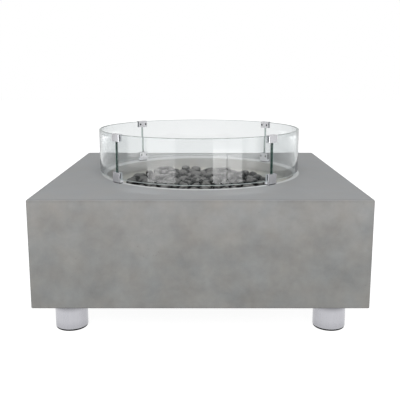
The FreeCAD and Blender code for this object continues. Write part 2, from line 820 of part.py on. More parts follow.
def make_valve():
    body = new_body("gas_valve")
    rear_block(body, TRAY_BACK, "-valve_width / 2", f"{CONTROL_LEVEL} - valve_drop", "valve_width / 2",
               f"{CONTROL_LEVEL} + valve_rise", "valve_depth", inwards=True)
    rear_disc(body, TRAY_BACK, "0", CONTROL_LEVEL, "valve_neck", "tray_sheet + valve_neck_length")
    rear_disc(body, f"({TRAY_BACK} - valve_depth)", "0", f"{CONTROL_LEVEL} - outlet_drop", "port_boss",
              "port_length", inwards=True)
    boss = new_sketch(body, "YZ_Plane", "-valve_width / 2")
    add_circle(boss, inlet_line(), CONTROL_LEVEL, "port_boss")
    pad(body, boss, "port_length", True)
    neck_end = f"({TRAY_INNER} + valve_neck_length)"
    rear_bore(body, neck_end, "0", CONTROL_LEVEL, "stem_radius + fit_gap",
              f"tray_sheet + valve_neck_length + stem_depth")
    rear_bore(body, f"({TRAY_BACK} - stem_depth)", "0", CONTROL_LEVEL, "plunger_radius + fit_gap",
              "valve_depth - stem_depth")
    outlet = new_sketch(body, "XZ_Plane", f"-({TRAY_BACK} - valve_depth - port_length)")
    add_circle(outlet, "0", f"{CONTROL_LEVEL} - outlet_drop", "hose_radius - 2")
    pocket(body, outlet, "port_length + valve_depth / 2")
    inlet = new_sketch(body, "YZ_Plane", "-valve_width / 2 - port_length")
    add_circle(inlet, inlet_line(), CONTROL_LEVEL, "pipe_radius - 1.5")
    pocket(body, inlet, "port_length + 6", True)
    round_edges(body, "1.5", lambda edge: runs_along_y(edge) and edge.Length > value("valve_depth") - 1)

    nut = new_body("valve_nut")
    rear_nut(nut, TRAY_INNER, "0", CONTROL_LEVEL, "(3 * valve_neck - 2)", "valve_neck + fit_gap",
             "panel_nut_height")

    magnet = new_body("safety_magnet")
    back = f"({TRAY_BACK} - valve_depth)"
    rear_disc(magnet, back, "0", CONTROL_LEVEL, "magnet_radius", "magnet_length", inwards=True)
    rear_disc(magnet, back, "0", CONTROL_LEVEL, "plunger_radius - fit_gap", "6")

    plunger = new_body("valve_plunger")
    rear_disc(plunger, f"({TRAY_BACK} - stem_depth - 0.3)", "0", CONTROL_LEVEL, "plunger_radius",
              "plunger_length", inwards=True)


def inlet_line():
    """Depth of the gas inlet's cross passage."""
    return f"({TRAY_BACK} - elbow_size * 0.75 - panel_nut_height)"


def make_knob():
    stem = new_body("valve_stem")
    rear_disc(stem, f"({TRAY_BACK} - stem_depth)", "0", CONTROL_LEVEL, "stem_radius",
              "stem_depth + stem_reach")

    knob = new_body("control_knob")
    base = f"({TRAY_INNER} + valve_neck_length + knob_gap)"
    rear_disc(knob, base, "0", CONTROL_LEVEL, "knob_radius", "knob_height * 0.45")
    rear_disc(knob, base, "0", CONTROL_LEVEL, "knob_radius * 0.82", "knob_height")
    rear_block(knob, f"({base} + knob_height)", "-knob_grip", f"{CONTROL_LEVEL} - knob_radius * 0.8",
               "knob_grip", f"{CONTROL_LEVEL} + knob_radius * 0.8", "3")
    socket = new_sketch(knob, "XZ_Plane", f"-{base}")
    add_circle(socket, "0", CONTROL_LEVEL, "stem_radius + fit_gap")
    reach = f"({TRAY_BACK} + stem_reach + 0.3 - {base})"
    pocket(knob, socket, reach)
    skirt = value("knob_radius")
    face = value(f"{base} + knob_height * 0.45")
    wanted = lambda edge: is_circle(edge, skirt) and abs(edge.BoundBox.YMin - face) < 1e-4
    round_edges(knob, "1.5", wanted)


def make_igniter():
    module = new_body("ignition_module")
    rear_disc(module, TRAY_BACK, "button_offset", CONTROL_LEVEL, "module_radius", "module_length",
              inwards=True)
    rear_disc(module, TRAY_BACK, "button_offset", CONTROL_LEVEL, "module_neck",
              "tray_sheet + module_neck_length")
    neck_end = f"({TRAY_INNER} + module_neck_length)"
    rear_bore(module, neck_end, "button_offset", CONTROL_LEVEL, "button_radius + fit_gap",
              "button_length - button_proud + push_travel + 1")

    nut = new_body("ignition_nut")
    rear_nut(nut, TRAY_INNER, "button_offset", CONTROL_LEVEL, "(2 * module_neck + 7)",
             "module_neck + fit_gap", "panel_nut_height")

    button = new_body("igniter_button")
    rear_disc(button, f"({neck_end} + button_proud)", "button_offset", CONTROL_LEVEL, "button_radius",
              "button_length", inwards=True)
    top = value(f"{neck_end} + button_proud")
    wanted = lambda edge: is_circle(edge, value("button_radius")) and abs(edge.BoundBox.YMin - top) < 1e-4
    round_edges(button, "1", wanted)


def make_inlet():
    fitting = new_body("inlet_fitting")
    shoulder = f"({TRAY_INNER} + panel_nut_height + inlet_neck_proud)"
    rear_disc(fitting, TRAY_BACK, "-inlet_offset", CONTROL_LEVEL, "inlet_neck", f"{shoulder} - {TRAY_BACK}")
    rear_disc(fitting, shoulder, "-inlet_offset", CONTROL_LEVEL, "flare_radius", "flare_length")
    block_side = "(elbow_size / 2)"
    rear_block(fitting, TRAY_BACK, f"-inlet_offset - {block_side}", f"{CONTROL_LEVEL} - {block_side}",
               f"-inlet_offset + {block_side}", f"{CONTROL_LEVEL} + {block_side}",
               "panel_nut_height + elbow_size * 1.25", inwards=True)
    branch = new_sketch(fitting, "YZ_Plane", f"-inlet_offset + {block_side}")
    add_circle(branch, inlet_line(), CONTROL_LEVEL, "flare_radius")
    pad(fitting, branch, "6")
    mouth = f"({shoulder} + flare_length)"
    rear_bore(fitting, mouth, "-inlet_offset", CONTROL_LEVEL, "flare_bore",
              f"{mouth} - {inlet_line()}")
    cross = new_sketch(fitting, "YZ_Plane", f"-inlet_offset + {block_side} + 6")
    add_circle(cross, inlet_line(), CONTROL_LEVEL, "pipe_radius - 1.5")
    pocket(fitting, cross, f"{block_side} + 6")
    tip = value(mouth)
    wanted = lambda edge: is_circle(edge, value("flare_radius")) and abs(edge.BoundBox.YMin - tip) < 1e-4
    round_edges(fitting, "1.5", wanted, "Chamfer")

    nut = new_body("inlet_nut")
    rear_nut(nut, TRAY_INNER, "-inlet_offset", CONTROL_LEVEL, "(2 * inlet_collar)", "inlet_neck + fit_gap",
             "panel_nut_height")

    pipe = new_body("inlet_pipe")
    start = "(-inlet_offset + elbow_size / 2 + 6)"
    run = new_sketch(pipe, "YZ_Plane", start)
    add_circle(run, inlet_line(), CONTROL_LEVEL, "pipe_radius")
    add_circle(run, inlet_line(), CONTROL_LEVEL, "pipe_radius - 1.5")
    pad(pipe, run, f"-valve_width / 2 - port_length - {start}")


# Hose and leads, each held at both ends inside the table
def rounded_path(points):
    """Straight runs joined by tangent arcs, each as large as its two runs allow."""
    edges = []
    radii = []
    start = points[0]
    for before, corner, after in zip(points, points[1:], points[2:]):
        arriving = (corner - before).normalize()
        leaving = (after - corner).normalize()
        half_turn = arriving.getAngle(leaving) / 2
        reach = 0.45 * min(before.distanceToPoint(corner), corner.distanceToPoint(after))
        radius = reach / math.tan(half_turn)
        first = corner - arriving * reach
        last = corner + leaving * reach
        inwards = (leaving - arriving).normalize()
        middle = corner + inwards * (radius / math.cos(half_turn) - radius)
        edges.append(Part.LineSegment(start, first).toShape())
        edges.append(Part.Arc(first, middle, last).toShape())
        radii.append(radius)
        start = last
    edges.append(Part.LineSegment(start, points[-1]).toShape())
    return Part.Wire(edges), radii


def make_tube(name, points, radius):
    """Plain round tube along a rounded path."""
    path, radii = rounded_path([Vector(*point) for point in points])
    direction = path.Edges[0].tangentAt(path.Edges[0].FirstParameter)
    ring = Part.Wire(Part.makeCircle(radius, Vector(*points[0]), direction))
    shape = path.makePipeShell([ring], True, False)
    expected = math.pi * radius ** 2 * path.Length
    if abs(shape.Volume - expected) > expected * 0.01:
        raise RuntimeError(f"{name} has a wrong volume")
    print(f"{name}: length {path.Length:.0f}, tightest bend {min(radii):.0f}")
    tube = doc.addObject("Part::Feature", name)
    tube.Shape = shape
    return keep(tube, name)


def route(start, end, steps):
    """Points between two ends: a share of the way, then an offset to the side and down."""
    start, end = Vector(*start), Vector(*end)
    ways = [start + (end - start) * along - Vector(0, 0, drop) + Vector(across, 0, 0)
            for along, across, drop in steps]
    return [tuple(start)] + [tuple(point) for point in ways] + [tuple(end)]


def make_lines():
    """Burner hose, spark lead and thermocouple lead, with their free runs as they are laid."""
    mixer_end = Vector(0, value("mixer_radius + mixer_neck"), value(hose_level()))
    valve_end = Vector(0, value(f"{TRAY_BACK} - valve_depth - port_length"),
                       value(f"{CONTROL_LEVEL} - outlet_drop"))
    # the first and last runs are level, square to the fittings that they meet
    straight = 0.135
    level = straight * (valve_end - mixer_end).z
    make_tube("burner_hose", route(mixer_end, valve_end, [
        (straight, 0, level), (0.295, -14, 14), (0.48, -24, 26), (0.7, -18, 20),
        (1 - straight, 0, -level),
    ]), value("hose_radius"))

    tail = value(f"{DISH_FLOOR} - probe_tail")
    spread = value("probe_spread / 2")
    control = value(CONTROL_LEVEL)
    module_end = value(f"{TRAY_BACK} - module_length")
    make_tube("ignition_lead", route(
        (-spread, value(IGNITER_AT), tail),
        (value("button_offset"), module_end, control),
        [(0.004, 0, 24), (0.09, -2, 42), (0.28, 2, 48), (0.5, 4, 42), (0.7, 4, 28), (0.87, 7, 7)],
    ), value("lead_radius"))
    magnet_end = value(f"{TRAY_BACK} - valve_depth - magnet_length")
    make_tube("thermocouple_lead", route(
        (spread, value(IGNITER_AT), tail),
        (0, magnet_end, control),
        [(0.004, 0, 20), (0.08, 1, 33), (0.25, 5, 33), (0.46, 6, 22), (0.68, 3, 9), (0.88, 0, 1)],
    ), value("capillary_radius"))


# Lava stones: flattened lumps that are dropped one by one until they rest
def stone_points(radius, flatness, chance):
    """Corners of a lumpy flattened stone about its own middle, and its triangles."""
    golden = (1 + math.sqrt(5)) / 2
    ring = [(0, 1, golden), (0, -1, golden), (0, 1, -golden), (0, -1, -golden)]
    corners = ring + [(y, z, x) for x, y, z in ring] + [(z, x, y) for x, y, z in ring]
    turn = Rotation(Vector(chance.uniform(-1, 1), chance.uniform(-1, 1), 1), chance.uniform(0, 360))
    points = []
    for corner in corners:
        point = turn.multVec(Vector(*corner).normalize()) * radius * chance.uniform(0.92, 1)
        points.append(Vector(point.x, point.y, point.z * flatness))
    # every three corners that lie next to each other make one face
    side = 2 / math.hypot(1, golden) + 1e-6
    places = [Vector(*corner).normalize() for corner in corners]
    faces = []
    for a in range(12):
        for b in range(a + 1, 12):
            for c in range(b + 1, 12):
                pairs = ((a, b), (b, c), (a, c))
                if all(places[i].distanceToPoint(places[j]) < side for i, j in pairs):
                    faces.append((a, b, c))
    return points, faces


def make_stone(points, faces):
    shell = Part.makeShell([
        Part.Face(Part.makePolygon([points[a], points[b], points[c], points[a]])) for a, b, c in faces
    ])
    stone = Part.makeSolid(shell)
    if stone.Volume < 0:
        stone.reverse()
    return stone


def height_in_triangle(x, y, a, b, c):
    """Height of a triangle over a spot, or None beside it."""
    area = (b.x - a.x) * (c.y - a.y) - (c.x - a.x) * (b.y - a.y)
    if abs(area) < 1e-9:
        return None
    u = ((x - a.x) * (c.y - a.y) - (c.x - a.x) * (y - a.y)) / area
    v = ((b.x - a.x) * (y - a.y) - (x - a.x) * (b.y - a.y)) / area
    if u < 0 or v < 0 or u + v > 1:
        return None
    return a.z + u * (b.z - a.z) + v * (c.z - a.z)


def drop_between(upper, lower):
    """How far the upper mesh can fall before it meets the lower one."""
    best = math.inf
    for point in upper["points"]:
        for face in lower["faces"]:
            height = height_in_triangle(point.x, point.y, *face)
            if height is not None:
                best = min(best, point.z - height)
    for point in lower["points"]:
        for face in upper["faces"]:
            height = height_in_triangle(point.x, point.y, *face)
            if height is not None:
                best = min(best, height - point.z)
    for a, b in upper["edges"]:
        for c, d in lower["edges"]:
            cross = (b.x - a.x) * (d.y - c.y) - (b.y - a.y) * (d.x - c.x)
            if abs(cross) < 1e-9:
                continue
            u = ((c.x - a.x) * (d.y - c.y) - (c.y - a.y) * (d.x - c.x)) / cross
            v = ((c.x - a.x) * (b.y - a.y) - (c.y - a.y) * (b.x - a.x)) / cross
            if 0 <= u <= 1 and 0 <= v <= 1:
                best = min(best, a.z + u * (b.z - a.z) - c.z - v * (d.z - c.z))
    return best


def as_mesh(faces):
    """Faces of three points each, with their points and edges named once."""
    points = {tuple(point): point for face in faces for point in face}
    pairs = [pair for a, b, c in faces for pair in ((a, b), (b, c), (c, a))]
    edges = {tuple(sorted((tuple(a), tuple(b)))): (a, b) for a, b in pairs}
    return {"points": list(points.values()), "faces": faces, "edges": list(edges.values())}


def resting_height(x, y, radius, floor, laid, burner):
    """Height at which a ball rests on the floor, the burner tube or balls already laid."""
    height = floor + radius
    to_ring = abs(math.hypot(x, y) - burner["ring"])
    to_bar = abs(y) if abs(x) < burner["ring"] else math.inf
    for distance, reach in ((to_ring, radius + burner["tube"]), (to_bar, radius + burner["tube"])):
        if distance < reach:
            height = max(height, burner["level"] + math.sqrt(reach ** 2 - distance ** 2))
    hub_reach = radius + burner["hub"]
    if math.hypot(x, y) < hub_reach:
        height = max(height, burner["hub_top"] + radius)
    for ball_x, ball_y, ball_z, ball_radius in laid:
        reach = radius + ball_radius
        distance = math.hypot(x - ball_x, y - ball_y)
        if distance < reach:
            height = max(height, ball_z + math.sqrt(reach ** 2 - distance ** 2))
    return height


def strips(lines):
    """Triangles between neighbouring lines of points."""
    faces = []
    for line, following in zip(lines, lines[1:]):
        for a, b, c, d in zip(line, line[1:], following, following[1:]):
            faces += [(a, b, c), (b, d, c)]
    return faces


def coarse_floor():
    """Upper side of the burner, the pan's rim and the well's floor in a few triangles."""
    level = value(RING_LEVEL)
    section = ((1, 0), (1, 1), (-1, 1), (-1, 0))
    around = [math.radians(5 * step) for step in range(73)]
    tube = value("ring_tube")
    ring = []
    for out, up in section:
        reach = value("ring_radius") + (tube + 0.2) * out
        ring.append([Vector(reach * math.cos(a), reach * math.sin(a), level + tube * up) for a in around])
    tube = value("bar_tube")
    places = [value("ring_radius") * step / 5 for step in range(-5, 6)]
    bar = [[Vector(x, tube * out, level + tube * up) for x in places] for out, up in section]
    top = value(f"{PAN_TOP} + hub_height")
    wide = value("hub_radius") + 0.2
    rim = [Vector(wide * math.cos(a), wide * math.sin(a), top) for a in around[::2]]
    hub = [[Vector(0, 0, top)] * len(rim), rim, [point - Vector(0, 0, value("hub_height")) for point in rim]]
    pan_edge = value("pan_radius") + 0.2
    flat_floor = value("rim_radius - well_round") - pan_edge
    steps = [
        (value("dish_radius - pan_sheet"), value(f"{WELL_FLOOR} + pan_sheet")),
        (pan_edge, value(f"{WELL_FLOOR} + pan_sheet")),
    ]
    steps += [(pan_edge + flat_floor * part / 4, value(WELL_FLOOR)) for part in range(5)]
    ledge = [[Vector(reach * math.cos(a), reach * math.sin(a), up) for a in around] for reach, up in steps]
    return strips(ring) + strips(bar) + strips(hub) + strips(ledge)


def make_stones():
    """Lay the heap in a space where every stone is a ball, then flatten it and let each one settle."""
    chance = random.Random(7)
    flatness = value("stone_flatness")
    heap = value("heap_radius")
    middle_x, middle_y = value("heap_shift"), -value("heap_forward")
    floor = value(PAN_TOP)
    dish = value("dish_radius")
    ledge = value("dish_depth") / flatness
    gap = value("stone_gap")
    largest = value("stone_largest")
    smallest = value("stone_smallest")
    crown = (value(f"{TABLETOP} + heap_rise") - floor) / flatness
    edge_drop = value("heap_edge_drop") / flatness
    burner = {
        "ring": value("ring_radius"),
        "tube": value("ring_tube") / flatness + gap,
        "level": value("ring_height") / flatness,
        "hub": value("hub_radius") + gap,
        "hub_top": value("hub_height") / flatness + gap,
    }
    probe_y = value(IGNITER_AT)
    clear_radius = value("bracket_width") * 0.6 + 4
    laid = []
    misses = 0
    most_misses = 120
    while misses < most_misses:
        # the stones grow smaller as room runs out
        radius = chance.uniform(smallest, largest - (largest - smallest) * misses / most_misses)
        best = None
        for trial in range(30):
            x, y = middle_x, middle_y
            reach = (heap - radius) * math.sqrt(chance.random())
            if laid and chance.random() < 0.85:
                x, y, _, beside = chance.choice(laid)
                reach = radius + beside + gap
            angle = chance.uniform(0, 2 * math.pi)
            x += reach * math.cos(angle)
            y += reach * math.sin(angle)
            aside = math.hypot(x - middle_x, y - middle_y)
            off_the_heap = aside > heap - radius
            if off_the_heap or math.hypot(x, y - probe_y) < radius + clear_radius:
                continue
            step = ledge if math.hypot(x, y) > dish - radius / 2 else 0
            height = resting_height(x, y, radius, step, laid, burner)
            ceiling = crown - edge_drop * (aside / heap) ** 2
            if height + radius < ceiling and (best is None or height < best[2]):
                best = (x, y, height, radius)
        if best:
            laid.append(best)
            misses = 0
        else:
            misses += 1

    floor_faces = coarse_floor()
    reach = 2 * largest
    settled = []
    stones = []
    for x, y, height, radius in sorted(laid, key=lambda ball: ball[2]):
        corners, faces = stone_points(radius, flatness, chance)
        middle = Vector(x, y, floor + height * flatness)
        place = [corner + middle for corner in corners]
        stone = as_mesh([tuple(place[i] for i in face) for face in faces])
        fall = min(point.z for point in place) - floor
        near = [face for face in floor_faces if any(math.hypot(p.x - x, p.y - y) < reach for p in face)]
        if near:
            fall = min(fall, drop_between(stone, as_mesh(near)))
        for other_x, other_y, other_radius, other in settled:
            if math.hypot(x - other_x, y - other_y) < radius + other_radius:
                fall = min(fall, drop_between(stone, other))
        drop = Vector(0, 0, gap - fall)
        place = [point + drop for point in place]
        settled.append((x, y, radius, as_mesh([tuple(place[i] for i in face) for face in faces])))
        stones.append(make_stone(place, faces))
    heap_of_stones = doc.addObject("Part::Feature", "lava_rocks")
    heap_of_stones.Shape = Part.makeCompound(stones)
    print("stones:", len(stones))
    return keep(heap_of_stones, "lava_rocks")


# Wind guard: four glass panels, joined at the seams by clips
SEAMS = {"rear_right": 45, "rear_left": 135, "front_left": 225, "front_right": 315}
PANELS = {"glass_right": 315, "glass_rear": 45, "glass_left": 135, "glass_front": 225}


def place_in_guard(body, angle):
    body.setExpression("Placement.Rotation.Angle", sized(f"({angle} + guard_turn) * 1 deg"))
    body.setExpression("Placement.Base.x", "Sizes.guard_shift")


def ring_profile(body, inside, low, outside, high, turn=None):
    """Rectangle beside the guard's upright axis, ready to be turned about it."""
    sketch = new_sketch(body, "XZ_Plane", turn=turn)
    add_rectangle(sketch, inside, low, outside, high)
    return sketch


def arc_angle(length):
    """Angle that a length takes up at the glass, seen from the guard's axis."""
    return f"(asin({length} / {GLASS_OUTSIDE}))"


def make_panel(name, angle):
    body = new_body(name)
    half_gap = arc_angle("panel_gap / 2")
    profile = ring_profile(body, GLASS_INSIDE, GLASS_FOOT, GLASS_OUTSIDE, GLASS_TOP, half_gap)
    revolve(body, profile, f"90 deg - 2 * {half_gap}")
    round_edges(body, "glass_arris", lambda edge: True, "Chamfer")
    place_in_guard(body, angle)


def make_clip(name, angle, low, high, slot_low, slot_high):
    """Clip with a slot on each side of a web that fills the seam."""
    body = new_body(name)
    outline = new_sketch(body, "XY_Plane", low)
    add_rectangle(outline, CLIP_INSIDE, "-clip_width / 2", CLIP_OUTSIDE, "clip_width / 2")
    pad(body, outline, f"{high} - {low}")
    round_edges(body, "clip_round", is_upright)
    web = arc_angle("clip_web / 2")
    arm = arc_angle("(clip_width / 2 + 2)")
    for turn in (web, f"-{arm}"):
        slot = ring_profile(body, SLOT_INSIDE, slot_low, SLOT_OUTSIDE, slot_high, turn)
        groove(body, slot, f"{arm} - {web}")
    level = clip_screw_level(low, high, slot_low, slot_high)
    holes = new_sketch(body, "YZ_Plane", CLIP_INSIDE)
    for y in ("-clip_screw_spread", "clip_screw_spread"):
        add_circle(holes, y, level, "clip_screw + fit_gap")
    pocket(body, holes, "clip_inner + 2", True)
    place_in_guard(body, angle)


def clip_screw_level(low, high, slot_low, slot_high):
    """Height of the set screws: halfway up the stretch of glass that the clip holds."""
    return f"((max({low}; {slot_low}) + min({high}; {slot_high})) / 2)"


def clip_levels():
    """Lowest and highest level of the clips, and of their slots."""
    top_high = f"({GLASS_TOP} + top_clip_rise)"
    top_low = f"({top_high} - top_clip_height)"
    foot_low = f"({TABLETOP} + clip_foot)"
    foot_high = f"({foot_low} + bottom_clip_height)"
    return {
        "top": (top_low, top_high, f"({top_low} - 1)", f"({GLASS_TOP} + 0.3)"),
        "bottom": (foot_low, foot_high, f"({GLASS_FOOT} - 0.3)", f"({foot_high} + 1)"),
    }


def make_guard():
    for name, angle in PANELS.items():
        make_panel(name, angle)
    for kind, levels in clip_levels().items():
        for seam, angle in SEAMS.items():
            make_clip(f"{kind}_clip_{seam}", angle, *levels)

    screws = new_body("clip_screws")
    pads = new_body("clip_pads")
    screw_features = []
    pad_features = []
    # the flat tips stop short of the pad, whose face is round
    tip = f"(sqrt({SLOT_INSIDE}^2 - (clip_screw_spread + clip_screw)^2) - fit_gap)"
    for levels in clip_levels().values():
        level = clip_screw_level(*levels)
        sketch = new_sketch(screws, "YZ_Plane", tip)
        for y in ("-clip_screw_spread", "clip_screw_spread"):
            add_circle(sketch, y, level, "clip_screw")
        screw_features.append(pad(screws, sketch, "clip_screw_length", True))
        socket = new_sketch(screws, "YZ_Plane", f"{tip} - clip_screw_length")
        for y in ("-clip_screw_spread", "clip_screw_spread"):
            add_hexagon(socket, y, level, "clip_screw")
        screw_features.append(pocket(screws, socket, "clip_screw_length / 2", True))
        side = arc_angle("(clip_screw_spread + clip_screw)")
        sweep = arc_angle("(2 * clip_screw)")
        low = f"({level} - pad_height / 2)"
        high = f"({level} + pad_height / 2)"
        for inside in (f"({SLOT_INSIDE} + fit_gap)", f"({GLASS_OUTSIDE} + fit_gap)"):
            for turn in (f"{side} - {sweep}", f"-{side}"):
                profile = ring_profile(pads, inside, low, f"{inside} + pad_thickness", high, turn)
                pad_features.append(revolve(pads, profile, sweep))
    four_times(screws, screw_features)
    four_times(pads, pad_features)
    place_in_guard(screws, 45)
    place_in_guard(pads, 45)

    feet = new_body("clip_feet")
    sole = new_sketch(feet, "XY_Plane", TABLETOP)
    inset = "clip_foot_inset"
    add_rectangle(sole, f"{CLIP_INSIDE} + {inset}", f"-clip_width / 2 + {inset}", f"{CLIP_OUTSIDE} - {inset}",
                  f"clip_width / 2 - {inset}")
    four_times(feet, [pad(feet, sole, "clip_foot")])
    place_in_guard(feet, 45)


def write_parts():
    """Check every object, then write one file for each sub-part."""
    doc.recompute()
    for thing in doc.Objects:
        if "Invalid" in thing.State or "Error" in thing.State:
            raise RuntimeError(f"{thing.Name} did not build: {thing.State}")
    os.makedirs("parts", exist_ok=True)
    for node in nodes:
        shape = node.Shape
        if shape.isNull() or not shape.isValid() or not shape.Solids:
            raise RuntimeError(f"{node.Label} has no valid shape")
        shape.exportStep(f"parts/{node.Label}.step")


def main():
    make_shell()
    make_frame()
    make_inserts()
    make_frame_screws()
    for side_name, x_sign, y_sign in (
        ("front_left", "-", "-"), ("front_right", "", "-"), ("rear_left", "-", ""), ("rear_right", "", ""),
    ):
        make_leg(side_name, x_sign, y_sign)
    make_leg_bolts()
    make_pan()
    make_burner()
    make_burner_fittings()
    make_shield()
    make_ignition_probes()
    make_tray()
    make_valve()
    make_knob()
    make_igniter()
    make_inlet()
    make_lines()
    make_stones()
    make_guard()
    write_parts()


main()
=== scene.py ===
import math
import random

import bmesh
import bpy
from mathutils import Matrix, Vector, noise


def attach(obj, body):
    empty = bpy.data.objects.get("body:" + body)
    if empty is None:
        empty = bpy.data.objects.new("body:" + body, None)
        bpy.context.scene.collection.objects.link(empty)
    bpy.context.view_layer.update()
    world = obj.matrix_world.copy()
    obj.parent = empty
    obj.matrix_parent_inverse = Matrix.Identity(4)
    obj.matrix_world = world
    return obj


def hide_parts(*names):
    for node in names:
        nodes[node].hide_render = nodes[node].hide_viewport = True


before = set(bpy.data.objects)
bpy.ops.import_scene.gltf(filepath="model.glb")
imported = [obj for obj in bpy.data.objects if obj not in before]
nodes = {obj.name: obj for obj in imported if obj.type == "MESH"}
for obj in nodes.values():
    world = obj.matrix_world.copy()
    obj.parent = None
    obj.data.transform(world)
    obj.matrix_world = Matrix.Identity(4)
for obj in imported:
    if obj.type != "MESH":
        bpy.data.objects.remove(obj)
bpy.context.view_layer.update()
print("frame loaded:", len(nodes), "pieces")


# the view of the photograph: a low long lens in front of the table
camera = {
    "place": (0.0, -2.3422, 0.8422),
    "tilt": 79.49,              # degrees, 90 looks level
    "lens": 54.68,              # millimetres, over a sensor of this width
    "sensor": 36,
    "shift": (-0.0009, -0.046),
    "farthest": 50,
}


def placeCamera():
    data = bpy.data.cameras.new("camera")
    data.lens = camera["lens"]
    data.sensor_width = camera["sensor"]
    data.shift_x, data.shift_y = camera["shift"]
    data.clip_end = camera["farthest"]
    eye = bpy.data.objects.new("camera", data)
    eye.location = camera["place"]
    eye.rotation_euler = (math.radians(camera["tilt"]), 0, 0)
    bpy.context.scene.collection.objects.link(eye)
    bpy.context.scene.camera = eye
    print("camera placed")


class Wire:                     # a socket that can be written into sums
    def __init__(self, finish, socket):
        self.finish = finish
        self.socket = socket

    def sum(self, operation, *others):
        terms = dict(enumerate((self, *others)))
        return self.finish.node("Math", {"operation": operation}, terms)

    def __add__(self, other):
        return self.sum("ADD", other)

    def __sub__(self, other):
        return self.sum("SUBTRACT", other)

    def __rsub__(self, other):
        return (self * -1).sum("ADD", other)

    def __mul__(self, other):
        return self.sum("MULTIPLY", other)

    def __truediv__(self, other):
        return self.sum("DIVIDE", other)

    def __pow__(self, other):
        return self.sum("POWER", other)

    def __abs__(self):
        return self.sum("ABSOLUTE")

    __radd__ = __add__
    __rmul__ = __mul__

    def above(self, other):                 # 1 where it is more than the other, else 0
        return self.sum("GREATER_THAN", other)

    def larger(self, other):
        return self.sum("MAXIMUM", other)

    def smaller(self, other):
        return self.sum("MINIMUM", other)

    def between(self, low, high):           # 0 at low, 1 at high, held at both ends
        return self.finish.node("MapRange", {"interpolation_type": "SMOOTHSTEP"},
                                {"Value": self, "From Min": low, "From Max": high})


class Finish:                   # the nodes of one material, of a lamp or of the world
    def __init__(self, name, tone=(0.5, 0.5, 0.5), owner=None):
        self.owner = owner or bpy.data.materials.new(name)
        self.owner.use_nodes = True
        if not owner:
            self.owner.diffuse_color = (*tone, 1)
        self.tree = self.owner.node_tree
        self.tree.nodes.clear()

    def node(self, kind, settings=None, sockets=None, out=0):
        made = self.tree.nodes.new("ShaderNode" + kind)
        for key, value in (settings or {}).items():
            if key == "stops":
                ramp = made.color_ramp.elements
                while len(ramp) < len(value):
                    ramp.new(0.5)
                for stop, (place, tone) in zip(ramp, value):
                    stop.position = place
                    stop.color = (*tone, 1)
            else:
                setattr(made, key, value)
        for key, value in (sockets or {}).items():
            socket = made.inputs[key]
            if isinstance(value, Wire):
                self.tree.links.new(value.socket, socket)
            elif socket.type == "RGBA" and len(value) == 3:
                socket.default_value = (*value, 1)
            else:
                socket.default_value = value
        return Wire(self, made.outputs[out]) if made.outputs else None

    def place(self, stretch=(1, 1, 1), shift=(0, 0, 0)):
        here = self.node("TexCoord", out="Object")
        return self.node("Mapping", {}, {"Vector": here, "Location": shift, "Scale": stretch})

    def axis(self, index, place=None):
        place = place or self.node("TexCoord", out="Object")
        return self.node("SeparateXYZ", {}, {"Vector": place}, index)

    def cloud(self, scale, detail=4, rough=0.5, place=None, warp=0.0):
        return self.node("TexNoise", {}, {
            "Vector": place or self.node("TexCoord", out="Object"),
            "Scale": scale, "Detail": detail, "Roughness": rough, "Distortion": warp,
        })

    def cells(self, scale):
        place = self.node("TexCoord", out="Object")
        return self.node("TexVoronoi", {}, {"Vector": place, "Scale": scale})

    def blend(self, factor, first, second, mode="MIX"):
        settings = {"data_type": "RGBA", "blend_type": mode, "clamp_factor": True}
        return self.node("Mix", settings, {0: factor, 6: first, 7: second}, 2)

    def shaded(self, colour, *levels):      # times one level, or one for each part of the colour
        parts = dict(enumerate(levels if len(levels) == 3 else levels * 3))
        return self.blend(1.0, colour, self.node("CombineColor", {}, parts), "MULTIPLY")

    def bump(self, height, depth, strength=1.0, under=None):
        sockets = {"Height": height, "Distance": depth, "Strength": strength}
        if under:
            sockets["Normal"] = under
        return self.node("Bump", {}, sockets)

    def surface(self, **sockets):           # baseColor="..." becomes the socket Base Color
        named = {}
        for key, value in sockets.items():
            words = "".join(" " + letter if letter.isupper() else letter for letter in key)
            named[words.title().replace("Ior", "IOR")] = value
        return self.node("BsdfPrincipled", {}, named)

    def end(self, shader, volume=None):
        kind = {"WORLD": "World", "LIGHT": "Light"}.get(self.owner.id_type, "Material")
        sockets = {"Surface": shader}
        if volume:
            sockets["Volume"] = volume
        self.node("Output" + kind, {}, sockets)
        return self.owner


def tone(red, green, blue):     # a colour as it is read off a screen, 0 to 255
    return tuple(((part / 255 + 0.055) / 1.055) ** 2.4 if part > 10 else part / 255 / 12.92
                 for part in (red, green, blue))


concrete = {
    "top": tone(159, 160, 161),
    "side": tone(168, 167, 165),
    "foot": tone(156, 156, 154),
    "well": tone(190, 189, 183),
    "ledge": tone(208, 209, 209),
    "topLevel": 0.4495,
    "topBlend": 0.003,
    "underside": 0.1,
    "fade": 0.2,                # painted shade: the sides are darker below this
    "half": 0.5335,
    "wellRadius": 0.36,
    "wellBlend": 0.004,
    "wellFloor": 0.3,
    "ledgeRadius": (0.381, 0.398),      # across and along, and how far it lies to the back
    "ledgeShift": 0.016,
    "ledgeBlend": (0.995, 1.012),
    "clouds": 9,                # scales of the pattern, from broad to fine
    "warmClouds": 11,
    "patches": 34,
    "pitCells": 80,
    "grain": 300,
    "mottle": 0.6,              # strength of the clouds on the cast sides and on the top
    "topMottle": 0.10,
    "patchShare": 0.5,
    "speckle": 0.10,
    "warmth": 0.14,
    "pitSize": (0.08, 0.17),
    "pitted": (0.56, 0.68),     # where in the clouds there are pits
    "pits": 0.2,
    "edge": 0.14,               # how much painted shade darkens the edges, and how wide and how deep
    "edgeWidth": (0.014, 0.003),
    "edgeDepth": (0.01, 0.004),
    "footEdge": 1.6,
    "footDepth": (0.001, 0.005),
    "gloss": 0.2,
    "rough": 0.62,
    "roughPatches": 0.2,
    "relief": 0.0006,
}


